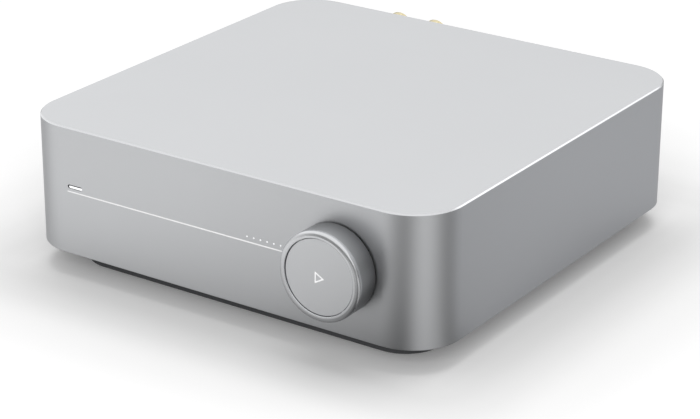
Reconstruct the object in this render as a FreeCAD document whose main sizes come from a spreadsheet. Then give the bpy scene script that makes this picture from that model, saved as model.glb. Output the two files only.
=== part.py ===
import FreeCAD, Part
import math
import os
import Sketcher

# Streaming amplifier: a rounded aluminium case on a dark plinth, with a volume knob in front
# and its sockets behind. Millimetres, +Z up, front towards -Y, right-hand side towards +X.
# The sketches use the middle of the case as their Y = 0; every sub-part's Placement then moves
# it, so that the origin ends at the middle of the whole object's footprint, on the floor.

SIZES = {
    # Case
    "case_width": 190,
    "case_depth": 190,
    "case_height": 53,
    "case_corner": 20.4,
    "case_lift": 10,
    "side_wall": 3,
    "roof": 3.5,
    "top_chamfer": 0.5,
    "low_chamfer": 0.3,
    "boss_inset": 13,
    "boss_radius": 4,
    "boss_hole_depth": 15,
    # Fits
    "location_gap": 0.05,
    "assembly_gap": 0.2,
    "running_gap": 0.05,
    "moving_gap": 0.3,
    # Screws
    "screw_radius": 1.5,
    "screw_head": 2.8,
    "screw_head_height": 1.6,
    "screw_length": 12,
    "screw_socket": 1.1,
    "screw_socket_depth": 0.9,
    # Base plate and foot
    "flange_thickness": 2.5,
    "plinth_inset": 13.44,
    "plinth_corner": 15.5,
    "plinth_lift": 0.65,
    "tub_wall": 2.5,
    "tub_floor": 2.5,
    "foot_inset": 7,
    "foot_width": 8,
    "foot_corner": 10,
    "foot_seat": 1,
    # Rear panel
    "panel_thickness": 2.5,
    "panel_edge": 0.8,
    "panel_lip": 1.8,
    "panel_rim": 2,
    "panel_recess": 0.5,
    "opening_corner": 3,
    # Knob
    "knob_inset": 19.5,
    "knob_radius": 17.2,
    "rim_radius": 17.4,
    "rim_start": 10,
    "knob_reach": 11.7,
    "rim_round": 1.7,
    "rim_inner": 15.3,
    "rim_bevel": 0.6,
    "knob_wall": 2.2,
    "web_thickness": 2,
    "face_thickness": 1.5,
    "face_radius": 14.7,
    "face_drop": 0.5,
    "face_gap": 0.15,
    "face_chamfer": 0.2,
    "press_travel": 0.5,
    "bush_radius": 6,
    "mark_width": 3.8,
    "mark_height": 4.3,
    "mark_stroke": 0.55,
    "mark_depth": 0.3,
    # Encoder
    "shaft_radius": 3,
    "shaft_flange": 4.2,
    "shaft_flange_thickness": 0.7,
    "shaft_tail": 0.5,
    "shaft_top_gap": 0.3,
    "encoder_width": 12.4,
    "encoder_depth": 7,
    "encoder_front": 1.5,
    "neck_radius": 3.5,
    "neck_reach": 3.5,
    "chamber_radius": 4.5,
    "plunger_radius": 4.2,
    "nut_flats": 10,
    "nut_height": 2.2,
    # Front lights
    "lamp_inset": 6.9,
    "lamp_width": 7.15,
    "lamp_height": 1.6,
    "lamp_rise": 2.1,
    "lamp_recess": 0.2,
    "lamp_flange": 1,
    "line_inset": 3.1,
    "line_gap": 7,
    "line_width": 0.5,
    "line_depth": 0.4,
    "dot_inset": 0.65,
    "dot_pitch": 3.05,
    "dot_count": 6,
    "dot_radius": 0.35,
    "guide_margin": 2,
    "guide_height": 3,
    "chip_size": 1.2,
    "chip_height": 0.8,
    "chip_gap": 0.1,
    # Boards
    "board_height": 18,
    "board_thickness": 1.6,
    "board_side_gap": 2,
    "board_back_gap": 1,
    "board_gap": 4,
    "main_setback": 21.4,
    "main_step_x": 8,
    "main_wing": 44.5,
    "power_setback": 11.4,
    "board_margin": 0.2,
    "standoff_inset": 6,
    "standoff_back_inset": 18.5,
    "standoff_radius": 3,
    "standoff_hole": 1.2,
    "board_screw_head": 2.4,
    "board_screw_head_height": 1.5,
    "board_screw_length": 6,
    "front_board_side_gap": 3,
    "front_board_drop": 3.5,
    # Speaker posts
    "post_side": 17.3,
    "post_drop": 7.25,
    "post_pitch": 19.05,
    "post_reach": 20,
    "stud_radius": 3,
    "stud_end_drop": 0.7,
    "stud_tail": 4,
    "plug_radius": 2,
    "plug_depth": 15,
    "stud_flange": 6.2,
    "stud_flange_thickness": 1,
    "collar_radius": 7,
    "collar_thickness": 3,
    "collar_neck": 4.4,
    "washer_thickness": 1,
    "cap_radius": 6.35,
    "cap_grip": 9.5,
    "cap_waist": 5.6,
    "cap_chamfer": 0.6,
    "flute_radius": 0.45,
    "flute_count": 20,
    "post_nut_flats": 10,
    "post_nut_height": 2.5,
    # Phono sockets
    "phono_pitch": 12.5,
    "phono_low": 5.4,
    "phono_block_width": 11,
    "phono_block_depth": 11.8,
    "phono_sleeve": 4.15,
    "phono_sleeve_wall": 0.5,
    "phono_sleeve_root": 4.4,
    "phono_reach": 9.5,
    "phono_core_drop": 1.5,
    "phono_core_hole": 1.7,
    "phono_ring": 5,
    "phono_ring_reach": 0.8,
    # Optical socket
    "optical_width": 12,
    "optical_height": 14,
    "optical_depth": 14,
    "optical_sill": 1.4,
    "optical_mouth": 8.6,
    "optical_lip": 1,
    "optical_room": 9.2,
    "optical_room_height": 10.8,
    "optical_room_depth": 11,
    "shutter_thickness": 0.6,
    "shutter_pin": 0.5,
    "shutter_barrel": 0.7,
    "shutter_bearing": 0.9,
    "shutter_side_gap": 0.2,
    # HDMI, USB and network sockets
    "shell_wall": 0.4,
    "hdmi_width": 15,
    "hdmi_height": 5.6,
    "hdmi_bevel": 1.6,
    "hdmi_depth": 12,
    "hdmi_tongue_width": 11.6,
    "hdmi_tongue_height": 1.1,
    "usb_width": 13.3,
    "usb_height": 5.9,
    "usb_depth": 15,
    "usb_tongue_width": 11.1,
    "usb_tongue_height": 1.8,
    "usb_tongue_drop": 0.7,
    "tongue_setback": 1.5,
    "stack_gap": 1.5,
    "network_width": 16,
    "network_height": 13.5,
    "network_depth": 21.5,
    "network_room_width": 11.8,
    "network_room_height": 7.2,
    "network_room_sill": 4.6,
    "network_room_depth": 14,
    "network_notch_width": 6.2,
    "network_notch_height": 2.6,
    "contact_pitch": 1.02,
    "contact_width": 0.4,
    "contact_height": 0.5,
    "contact_setback": 3,
    # Mains inlet
    "inlet_margin": 13.5,
    "inlet_width": 22,
    "inlet_height": 17.4,
    "inlet_depth": 21,
    "inlet_slot_width": 16.8,
    "inlet_slot_height": 8.4,
    "inlet_slot_depth": 14,
    "inlet_pin_pitch": 8.6,
    "inlet_pin_radius": 1.2,
    "inlet_pin_length": 11,
    # Power supply
    "core_inset": 24,
    "core_y": 8,
    "core_width": 33,
    "core_depth": 11,
    "core_height": 26,
    "core_leg": 9,
    "core_window": 7,
    "core_yoke": 4,
    "winding_depth": 24,
    "winding_corner": 2,
    "capacitor_inset": 18,
    "capacitor_setback": 28,
    "capacitor_radius": 11,
    "capacitor_height": 33,
    "choke_gap": 7.3,
    "choke_ring": 8,
    "choke_thickness": 4.2,
    # Amplifier
    "amp_inset": 38,
    "amp_y": 8,
    "amp_chip_width": 14,
    "amp_chip_height": 1.4,
    "sink_width": 44,
    "sink_depth": 44,
    "sink_base": 4,
    "sink_height": 26,
    "fin_thickness": 1.6,
    "fin_count": 8,
    "inductor_radius": 6,
    "inductor_height": 11,
    "inductor_pitch": 14,
    "inductor_gap": 10,
    "film_width": 5.5,
    "film_depth": 13,
    "film_height": 11,
    "film_gap": 3.5,
    "radio_inset": 40,
    "radio_gap": 2,
    "radio_width": 32,
    "radio_depth": 24,
    "radio_height": 3.6,
    "antenna_left": 4,
    "antenna_length": 20,
    "antenna_height": 9,
    "antenna_pitch": 23,
    "antenna_thickness": 0.8,
    "antenna_drop": 4,
    # Flat cable between the front board and the main board
    "ribbon_x": -20,
    "ribbon_width": 15,
    "ribbon_thickness": 0.3,
    "ribbon_rise": 12,
    "ribbon_out": 10,
    "ribbon_lap": 8,
}


class Size:
    """A length that knows its number and the formula that gives it from the sheet."""

    def __init__(self, number, formula):
        self.number = number
        self.formula = formula

    def join(self, sign, other, number, swap=False):
        other = size_of(other)
        left, right = (other, self) if swap else (self, other)
        return Size(number, "(%s %s %s)" % (left.formula, sign, right.formula))

    def __add__(self, other):
        return self.join("+", other, self.number + number_of(other))

    def __sub__(self, other):
        return self.join("-", other, self.number - number_of(other))

    def __mul__(self, other):
        return self.join("*", other, self.number * number_of(other))

    def __truediv__(self, other):
        return self.join("/", other, self.number / number_of(other))

    def __radd__(self, other):
        return self.join("+", other, number_of(other) + self.number, swap=True)

    def __rsub__(self, other):
        return self.join("-", other, number_of(other) - self.number, swap=True)

    def __rmul__(self, other):
        return self.join("*", other, number_of(other) * self.number, swap=True)

    def __neg__(self):
        return 0 - self


def size_of(value):
    return value if isinstance(value, Size) else Size(float(value), repr(float(value)))


def number_of(value):
    return value.number if isinstance(value, Size) else float(value)


class Sheet:
    """The driving dimensions, each reached by its own name as a Size."""

    def __init__(self, doc, sizes):
        cells = doc.addObject("Spreadsheet::Sheet", "Sizes")
        for row, (name, number) in enumerate(sizes.items(), 1):
            cells.set("A%d" % row, name)
            cells.set("B%d" % row, str(number))
            cells.setAlias("B%d" % row, name)
            setattr(self, name, Size(float(number), "Sizes." + name))


doc = FreeCAD.newDocument("StreamingAmplifier")
s = Sheet(doc, SIZES)
doc.recompute()

# Places that several sub-parts share
shift_y = (s.knob_reach - s.post_reach) / 2
front = -s.case_depth / 2
rear = s.case_depth / 2
case_top = s.case_lift + s.case_height
ceiling = case_top - s.roof
flange_top = s.case_lift + s.flange_thickness
tub_floor_top = s.plinth_lift + s.tub_floor
board_top = s.board_height + s.board_thickness
boss_x = s.case_width / 2 - s.boss_inset
boss_y = s.case_depth / 2 - s.boss_inset
plinth_width = s.case_width - 2 * s.plinth_inset
plinth_depth = s.case_depth - 2 * s.plinth_inset
foot_outer_width = plinth_width - 2 * s.foot_inset
foot_outer_depth = plinth_depth - 2 * s.foot_inset
panel_width = s.case_width - 2 * (s.case_corner + s.panel_edge)
panel_low = flange_top + s.assembly_gap
panel_high = ceiling - s.assembly_gap
opening_width = panel_width - 2 * s.panel_lip
opening_low = panel_low + s.panel_lip
opening_high = panel_high - s.panel_lip
panel_inner = rear - s.side_wall
panel_face = rear - s.panel_recess
flat_half = s.case_width / 2 - s.case_corner
knob_x = flat_half - s.knob_inset
knob_z = s.case_lift + s.case_height / 2
knob_gap = s.press_travel + s.moving_gap
lamp_x = -flat_half + s.lamp_inset
lamp_z = knob_z + s.lamp_rise
line_left = -flat_half + s.line_inset
line_right = knob_x - s.knob_radius - s.line_gap
dot_run = s.dot_pitch * (s.dot_count - 1)
dot_first = line_right - s.dot_inset - dot_run
front_board_y = front + s.side_wall + s.encoder_depth
lamp_chip_y = front_board_y - s.chip_height
shoulder = s.side_wall + s.encoder_front
shaft_end = shoulder + s.moving_gap + s.shaft_flange_thickness + s.shaft_tail
post_left = -opening_width / 2 + s.post_side
post_x = [post_left, post_left + s.post_pitch]
post_z = [opening_high - s.post_drop, opening_high - s.post_drop - s.post_pitch]
post_end = rear + s.post_reach
collar_end = panel_face + s.collar_thickness
stud_flange_end = collar_end + s.stud_flange_thickness
washer_start = stud_flange_end + s.moving_gap
cap_start = washer_start + s.washer_thickness + s.moving_gap
inlet_x = opening_width / 2 - s.inlet_margin
inlet_z = board_top + s.inlet_height / 2

# The phono, optical, HDMI and network sockets stand evenly spread between the posts and the inlet
socket_left = post_x[1] + s.collar_radius
socket_right = inlet_x - s.inlet_width / 2
socket_widths = [s.phono_block_width, s.optical_width, s.hdmi_width, s.network_width]
socket_gap = (socket_right - socket_left - sum(socket_widths)) / (len(socket_widths) + 1)
socket_x = []
for width in socket_widths:
    socket_x.append(socket_left + socket_gap + width / 2)
    socket_left = socket_left + socket_gap + width
phono_x, optical_x, hdmi_x, network_x = socket_x
phono_z = [board_top + s.phono_low + s.phono_pitch * row for row in range(3)]
phono_root = panel_inner - s.assembly_gap
usb_low = board_top + s.network_height + s.stack_gap

# Boards, and what stands on them
board_right = boss_x - s.boss_radius - s.board_side_gap
board_left = -board_right
board_back = panel_inner - s.panel_thickness - s.board_back_gap
main_front = front_board_y + s.board_thickness + s.main_setback
main_right = network_x + s.network_width / 2 + s.board_margin
main_step_y = board_back - s.main_wing
power_front = front_board_y + s.board_thickness + s.power_setback
power_left = inlet_x - s.inlet_width / 2 - s.board_margin
power_step_x = s.main_step_x + s.board_gap
power_step_y = main_step_y - s.board_gap
core_x = board_right - s.core_inset
capacitor_x = board_right - s.capacitor_inset
capacitor_y = power_front + s.capacitor_setback
choke_y = panel_face - s.inlet_depth - s.choke_gap - s.choke_ring - s.choke_thickness
amp_x = board_left + s.amp_inset
inductor_y = s.amp_y + s.sink_depth / 2 + s.inductor_gap + s.inductor_radius
film_y = inductor_y + s.inductor_radius + s.film_gap + s.film_depth / 2
ribbon_end = main_front + s.ribbon_lap
radio_x = board_left + s.radio_inset
radio_y = ribbon_end + s.radio_gap + s.radio_depth / 2


def bind(thing, path, value):
    """Ties one property to the sheet, or sets a plain number."""
    thing.setExpression(path, size_of(value).formula)


def place(thing, x=0, y=0, z=0):
    """Puts a sub-part's own origin at x, y, z, where y is counted from the case's middle."""
    bind(thing, "Placement.Base.x", x)
    bind(thing, "Placement.Base.y", shift_y + y)
    bind(thing, "Placement.Base.z", z)


def new_body(label, x=0, y=0, z=0):
    body = doc.addObject("PartDesign::Body", label)
    body.Label = label
    body.AllowCompound = True
    place(body, x, y, z)
    return body


class Drawing:
    """A fully constrained sketch on one of its body's origin planes."""

    def __init__(self, body, plane, offset=0):
        self.sketch = body.newObject("Sketcher::SketchObject", body.Label + "_sketch")
        origin_plane = next(f for f in body.Origin.OriginFeatures if f.Role == plane)
        self.sketch.AttachmentSupport = [(origin_plane, "")]
        self.sketch.MapMode = "FlatFace"
        bind(self.sketch, "AttachmentOffset.Base.z", offset)
        self.count = 0

    def hold(self, kind, value, *where):
        """Adds a dimension and ties it to the sheet."""
        index = self.sketch.addConstraint(Sketcher.Constraint(kind, *where, number_of(value)))
        self.count += 1
        name = "size%d" % self.count
        self.sketch.renameConstraint(index, name)
        bind(self.sketch, "Constraints." + name, value)

    def tie(self, kind, *where):
        self.sketch.addConstraint(Sketcher.Constraint(kind, *where))

    def polygon(self, points):
        """A closed outline through the points, each held by its own x and y."""
        corners = [FreeCAD.Vector(number_of(x), number_of(y), 0) for x, y in points]
        following = corners[1:] + corners[:1]
        lines = [self.sketch.addGeometry(Part.LineSegment(a, b)) for a, b in zip(corners, following)]
        for line, after in zip(lines, lines[1:] + lines[:1]):
            self.tie("Coincident", line, 2, after, 1)
        for line, (x, y) in zip(lines, points):
            self.hold("DistanceX", x, -1, 1, line, 1)
            self.hold("DistanceY", y, -1, 1, line, 1)
        return lines

    def rectangle(self, left, low, right, high):
        return self.polygon([(left, low), (right, low), (right, high), (left, high)])

    def middle_rectangle(self, x, y, width, height):
        return self.rectangle(x - width / 2, y - height / 2, x + width / 2, y + height / 2)

    def circle(self, x, y, radius):
        shape = Part.Circle(FreeCAD.Vector(number_of(x), number_of(y), 0), FreeCAD.Vector(0, 0, 1),
                            number_of(radius))
        circle = self.sketch.addGeometry(shape)
        self.hold("Radius", radius, circle)
        self.hold("DistanceX", x, -1, 1, circle, 3)
        self.hold("DistanceY", y, -1, 1, circle, 3)

    def rounded(self, x, y, width, height, radius):
        """A rectangle about (x, y) whose corners are tangent arcs."""
        reach_x = number_of(width) / 2 - number_of(radius)
        reach_y = number_of(height) / 2 - number_of(radius)
        arcs = []
        for turn, (side_x, side_y) in enumerate([(1, -1), (1, 1), (-1, 1), (-1, -1)]):
            middle = FreeCAD.Vector(number_of(x) + side_x * reach_x, number_of(y) + side_y * reach_y, 0)
            start = math.radians(90 * turn - 90)
            round_corner = Part.Circle(middle, FreeCAD.Vector(0, 0, 1), number_of(radius))
            arcs.append(self.sketch.addGeometry(Part.ArcOfCircle(round_corner, start, start + math.pi / 2)))
        for turn in range(4):
            arc, after = arcs[turn], arcs[(turn + 1) % 4]
            ends = self.sketch.getPoint(arc, 2), self.sketch.getPoint(after, 1)
            line = self.sketch.addGeometry(Part.LineSegment(*ends))
            self.tie("Tangent", arc, 2, line, 1)
            self.tie("Tangent", line, 2, after, 1)
            self.tie("Vertical" if turn % 2 == 0 else "Horizontal", line)
        for arc, after in zip(arcs, arcs[1:]):
            self.tie("Equal", arc, after)
        self.hold("Radius", radius, arcs[0])
        self.hold("DistanceX", width - 2 * radius, arcs[2], 3, arcs[1], 3)
        self.hold("DistanceY", height - 2 * radius, arcs[0], 3, arcs[1], 3)
        self.hold("DistanceX", x + width / 2 - radius, -1, 1, arcs[1], 3)
        self.hold("DistanceY", y + height / 2 - radius, -1, 1, arcs[1], 3)

    def hexagon(self, x, y, flats):
        """Six equal sides whose flats stand the given width apart."""
        reach = number_of(flats) / math.sqrt(3)
        angles = [math.radians(60 * corner) for corner in range(6)]
        corners = [FreeCAD.Vector(number_of(x) + reach * math.cos(a), number_of(y) + reach * math.sin(a), 0)
                   for a in angles]
        following = corners[1:] + corners[:1]
        lines = [self.sketch.addGeometry(Part.LineSegment(a, b)) for a, b in zip(corners, following)]
        for line, after in zip(lines, lines[1:] + lines[:1]):
            self.tie("Coincident", line, 2, after, 1)
        slants = [Size(math.cos(a), repr(math.cos(a))) for a in angles]
        rises = [Size(math.sin(a), repr(math.sin(a))) for a in angles]
        for line, slant, rise in zip(lines, slants, rises):
            self.hold("DistanceX", x + flats * slant / math.sqrt(3), -1, 1, line, 1)
            self.hold("DistanceY", y + flats * rise / math.sqrt(3), -1, 1, line, 1)


def pad(body, drawing, length, backwards=False):
    """Raises the drawing along its plane's normal, or against it."""
    feature = body.newObject("PartDesign::Pad", body.Label + "_pad")
    feature.Profile = drawing.sketch
    feature.Reversed = backwards
    bind(feature, "Length", length)
    return feature


def pocket(body, drawing, length, along=False):
    """Cuts the drawing against its plane's normal, or along it."""
    feature = body.newObject("PartDesign::Pocket", body.Label + "_pocket")
    feature.Profile = drawing.sketch
    feature.Reversed = along
    bind(feature, "Length", length)
    return feature


def revolve(body, drawing):
    """Turns the drawing a full turn about its vertical axis."""
    feature = body.newObject("PartDesign::Revolution", body.Label + "_turned")
    feature.Profile = drawing.sketch
    feature.ReferenceAxis = (drawing.sketch, ["V_Axis"])
    feature.Angle = 360
    return feature


def row_of(body, feature, drawing, length, count):
    """Repeats a feature along the drawing's horizontal axis, over the given length."""
    pattern = body.newObject("PartDesign::LinearPattern", body.Label + "_row")
    pattern.Originals = [feature]
    pattern.Direction = (drawing.sketch, ["H_Axis"])
    bind(pattern, "Length", length)
    bind(pattern, "Occurrences", count)
    body.Tip = pattern
    return pattern


def ring_of(body, feature, drawing, count):
    """Repeats a feature all round the drawing's normal."""
    pattern = body.newObject("PartDesign::PolarPattern", body.Label + "_ring")
    pattern.Originals = [feature]
    pattern.Axis = (drawing.sketch, ["N_Axis"])
    pattern.Angle = 360
    bind(pattern, "Occurrences", count)
    body.Tip = pattern
    return pattern


def edges_where(feature, test):
    """Names the edges of a recomputed feature that pass a test on the edge."""
    return ["Edge%d" % number for number, edge in enumerate(feature.Shape.Edges, 1) if test(edge)]


def dress(body, kind, feature, names, value):
    """Adds a Fillet or a Chamfer on the named edges."""
    edged = body.newObject("PartDesign::" + kind, body.Label + "_" + kind.lower())
    edged.Base = (feature, names)
    bind(edged, "Radius" if kind == "Fillet" else "Size", value)
    return edged


def lies_at(edge, axis, value):
    """Whether the whole edge lies in the plane where that coordinate has that value."""
    box = edge.BoundBox
    low, high = {"y": (box.YMin, box.YMax), "z": (box.ZMin, box.ZMax)}[axis]
    return abs(low - number_of(value)) < 1e-4 and abs(high - number_of(value)) < 1e-4


def is_ring(edge, radius):
    """Whether the edge is a full circle of that radius."""
    return isinstance(edge.Curve, Part.Circle) and abs(edge.Curve.Radius - number_of(radius)) < 1e-4


def box(label, x, y, z, width, depth, height):
    """A plain block that stands on z, with its middle at x, y."""
    block = doc.addObject("Part::Box", label)
    block.Label = label
    bind(block, "Length", width)
    bind(block, "Width", depth)
    bind(block, "Height", height)
    place(block, x - width / 2, y - depth / 2, z)
    return block


def corners_of(width, depth):
    """The four corner points of a rectangle about the middle, counted anticlockwise."""
    return [(width, depth), (-width, depth), (-width, -depth), (width, -depth)]


# Case

def make_case():
    body = new_body("case_shell")
    outline = Drawing(body, "XY_Plane", s.case_lift)
    outline.rounded(0, 0, s.case_width, s.case_depth, s.case_corner)
    block = pad(body, outline, s.case_height)
    doc.recompute()
    top_edges = edges_where(block, lambda edge: lies_at(edge, "z", case_top))
    chamfered = dress(body, "Chamfer", block, top_edges, s.top_chamfer)
    doc.recompute()
    low_edges = edges_where(chamfered, lambda edge: lies_at(edge, "z", s.case_lift))
    dress(body, "Chamfer", chamfered, low_edges, s.low_chamfer)
    hollow = Drawing(body, "XY_Plane", s.case_lift)
    hollow.rounded(0, 0, s.case_width - 2 * s.side_wall, s.case_depth - 2 * s.side_wall,
                   s.case_corner - s.side_wall)
    pocket(body, hollow, s.case_height - s.roof, along=True)
    bosses = Drawing(body, "XY_Plane", flange_top)
    for x, y in corners_of(boss_x, boss_y):
        bosses.circle(x, y, s.boss_radius)
    pad(body, bosses, ceiling - flange_top)
    holes = Drawing(body, "XY_Plane", flange_top)
    for x, y in corners_of(boss_x, boss_y):
        holes.circle(x, y, s.screw_radius + s.location_gap)
    pocket(body, holes, s.boss_hole_depth, along=True)
    window = Drawing(body, "XZ_Plane", -rear)
    window.rounded(0, (opening_low + opening_high) / 2, opening_width, opening_high - opening_low,
                   s.opening_corner)
    pocket(body, window, s.side_wall, along=True)
    # A cut from the front face runs against the normal of a sketch that looks along -Y
    through = Drawing(body, "XZ_Plane", -front)
    through.circle(knob_x, knob_z, s.neck_radius + s.location_gap)
    through.rounded(lamp_x, lamp_z, s.lamp_width, s.lamp_height, s.lamp_height / 2 - s.location_gap / 2)
    pocket(body, through, s.side_wall)
    line = Drawing(body, "XZ_Plane", -front)
    line.rectangle(line_left, knob_z - s.line_width / 2, line_right, knob_z + s.line_width / 2)
    pocket(body, line, s.line_depth)
    dot = Drawing(body, "XZ_Plane", -front)
    dot.circle(dot_first, lamp_z, s.dot_radius)
    hole = pocket(body, dot, s.side_wall)
    row_of(body, hole, dot, dot_run, s.dot_count)
    return body


def make_base_plate():
    body = new_body("base_plate")
    flange = Drawing(body, "XY_Plane", s.case_lift)
    inner_width = s.case_width - 2 * (s.side_wall + s.assembly_gap)
    inner_depth = s.case_depth - 2 * (s.side_wall + s.assembly_gap)
    flange.rounded(0, 0, inner_width, inner_depth, s.case_corner - s.side_wall - s.assembly_gap)
    pad(body, flange, s.flange_thickness)
    plinth = Drawing(body, "XY_Plane", s.plinth_lift)
    plinth.rounded(0, 0, plinth_width, plinth_depth, s.plinth_corner)
    pad(body, plinth, s.case_lift - s.plinth_lift)
    tub = Drawing(body, "XY_Plane", tub_floor_top)
    tub.rounded(0, 0, plinth_width - 2 * s.tub_wall, plinth_depth - 2 * s.tub_wall,
                s.plinth_corner - s.tub_wall)
    pocket(body, tub, flange_top - tub_floor_top, along=True)
    groove = Drawing(body, "XY_Plane", s.plinth_lift)
    draw_foot(groove, 0)
    pocket(body, groove, s.foot_seat, along=True)
    holes = Drawing(body, "XY_Plane", s.case_lift)
    for x, y in corners_of(boss_x, boss_y):
        holes.circle(x, y, s.screw_radius + s.location_gap)
    pocket(body, holes, s.flange_thickness, along=True)
    return body


def draw_foot(drawing, gap):
    """The foot's ring in plan, drawn in from its groove by the gap."""
    drawing.rounded(0, 0, foot_outer_width - 2 * gap, foot_outer_depth - 2 * gap, s.foot_corner)
    hole_width = foot_outer_width - 2 * (s.foot_width - gap)
    hole_depth = foot_outer_depth - 2 * (s.foot_width - gap)
    drawing.rounded(0, 0, hole_width, hole_depth, s.foot_corner / 2)


def make_foot():
    body = new_body("foot_ring")
    ring = Drawing(body, "XY_Plane", 0)
    draw_foot(ring, s.location_gap)
    pad(body, ring, s.plinth_lift + s.foot_seat)
    return body


def make_base_screws():
    body = new_body("base_screws")
    heads = Drawing(body, "XY_Plane", s.case_lift)
    shanks = Drawing(body, "XY_Plane", s.case_lift)
    sockets = Drawing(body, "XY_Plane", s.case_lift - s.screw_head_height)
    for x, y in corners_of(boss_x, boss_y):
        heads.circle(x, y, s.screw_head)
        shanks.circle(x, y, s.screw_radius)
        sockets.hexagon(x, y, 2 * s.screw_socket)
    pad(body, heads, s.screw_head_height, backwards=True)
    pad(body, shanks, s.screw_length)
    pocket(body, sockets, s.screw_socket_depth, along=True)
    return body


# Rear panel

def make_rear_panel():
    """A dished panel: a rim that lies against the case's rear wall and a plate that fills the opening."""
    body = new_body("rear_panel")
    middle = (panel_low + panel_high) / 2
    rim = Drawing(body, "XZ_Plane", -panel_inner)
    rim.rounded(0, middle, panel_width, panel_high - panel_low, s.opening_corner + s.panel_lip)
    pad(body, rim, s.panel_thickness)
    plate = Drawing(body, "XZ_Plane", -panel_inner)
    plate.rounded(0, middle, opening_width - 2 * s.assembly_gap,
                  opening_high - opening_low - 2 * s.assembly_gap, s.opening_corner)
    pad(body, plate, panel_face - panel_inner, backwards=True)
    dish = Drawing(body, "XZ_Plane", -(panel_inner - s.panel_thickness))
    dish.rounded(0, middle, opening_width - 2 * s.panel_rim, opening_high - opening_low - 2 * s.panel_rim,
                 s.opening_corner)
    pocket(body, dish, s.panel_thickness)
    cut_sockets(body)
    return body


def cut_sockets(body):
    """One cut-out for each socket, a little larger than the socket itself."""
    gap = s.assembly_gap
    cuts = Drawing(body, "XZ_Plane", -panel_inner)
    for x in post_x:
        for z in post_z:
            cuts.circle(x, z, s.collar_neck + s.location_gap)
    for z in phono_z:
        cuts.circle(phono_x, z, s.phono_ring + s.location_gap)
    sockets = [
        (optical_x, board_top, s.optical_width, s.optical_height),
        (hdmi_x, board_top, s.hdmi_width, s.hdmi_height),
        (network_x, board_top, s.network_width, s.network_height),
        (network_x, usb_low, s.usb_width, s.usb_height),
        (inlet_x, board_top, s.inlet_width, s.inlet_height),
    ]
    for x, low, width, height in sockets:
        cuts.middle_rectangle(x, low + height / 2, width + 2 * gap, height + 2 * gap)
    pocket(body, cuts, panel_face - panel_inner)


# Speaker posts

def post_points():
    return [(x, z) for x in post_x for z in post_z]


def make_post_studs():
    body = new_body("post_studs")
    rods = Drawing(body, "XZ_Plane", -(post_end - s.stud_end_drop))
    flanges = Drawing(body, "XZ_Plane", -stud_flange_end)
    bores = Drawing(body, "XZ_Plane", -(post_end - s.stud_end_drop))
    for x, z in post_points():
        rods.circle(x, z, s.stud_radius)
        flanges.circle(x, z, s.stud_flange)
        bores.circle(x, z, s.plug_radius)
    start = panel_inner - s.panel_thickness - s.post_nut_height - s.stud_tail
    pad(body, rods, post_end - s.stud_end_drop - start)
    pad(body, flanges, s.stud_flange_thickness)
    # The banana plug's bore runs inwards from the stud's end
    pocket_inwards(body, bores, s.plug_depth)
    return body


def pocket_inwards(body, drawing, length):
    """Cuts towards -Y from a sketch that faces the front."""
    return pocket(body, drawing, length, along=True)


def make_post_collars(label, z):
    """Insulating collars on the panel's face, with a neck that lines each hole."""
    body = new_body(label)
    discs = Drawing(body, "XZ_Plane", -collar_end)
    necks = Drawing(body, "XZ_Plane", -panel_face)
    bores = Drawing(body, "XZ_Plane", -collar_end)
    for x in post_x:
        discs.circle(x, z, s.collar_radius)
        necks.circle(x, z, s.collar_neck)
        bores.circle(x, z, s.stud_radius + s.location_gap)
    neck_length = panel_face - panel_inner + s.panel_thickness
    pad(body, discs, s.collar_thickness)
    pad(body, necks, neck_length)
    pocket_inwards(body, bores, s.collar_thickness + neck_length)
    return body


def make_post_nuts():
    body = new_body("post_nuts")
    nuts = Drawing(body, "XZ_Plane", -(panel_inner - s.panel_thickness))
    for x, z in post_points():
        nuts.hexagon(x, z, s.post_nut_flats)
        nuts.circle(x, z, s.stud_radius + s.location_gap)
    pad(body, nuts, s.post_nut_height)
    return body


def make_post_washer(number, x, z):
    body = new_body("post_washer_%d" % number, x, 0, z)
    ring = Drawing(body, "XZ_Plane", -(washer_start + s.washer_thickness))
    ring.circle(0, 0, s.stud_flange)
    ring.circle(0, 0, s.stud_radius + s.running_gap)
    pad(body, ring, s.washer_thickness)
    return body


def make_post_cap(number, x, z):
    """A screw cap: a fluted grip at the outer end and a plain waist towards the panel."""
    body = new_body("post_cap_%d" % number, x, 0, z)
    bore = s.stud_radius + s.running_gap
    profile = Drawing(body, "XY_Plane", 0)
    grip_start = post_end - s.cap_grip
    profile.polygon([
        (bore, cap_start),
        (s.stud_flange, cap_start),
        (s.stud_flange, cap_start + s.cap_chamfer),
        (s.cap_waist, cap_start + 2 * s.cap_chamfer),
        (s.cap_waist, grip_start - s.cap_chamfer),
        (s.cap_radius, grip_start),
        (s.cap_radius, post_end - s.cap_chamfer),
        (s.cap_radius - s.cap_chamfer, post_end),
        (bore, post_end),
    ])
    revolve(body, profile)
    flute = Drawing(body, "XZ_Plane", -(post_end - 2 * s.cap_chamfer))
    flute.circle(0, s.cap_radius + s.flute_radius / 2, s.flute_radius)
    cut = pocket_inwards(body, flute, s.cap_grip - 4 * s.cap_chamfer)
    ring_of(body, cut, flute, s.flute_count)
    return body


# Phono sockets

def make_phono_block():
    body = new_body("phono_block", phono_x)
    block = Drawing(body, "XZ_Plane", -phono_root)
    high = phono_z[2] + s.phono_ring + s.assembly_gap
    block.rectangle(-s.phono_block_width / 2, board_top, s.phono_block_width / 2, high)
    pad(body, block, s.phono_block_depth)
    return body


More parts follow.
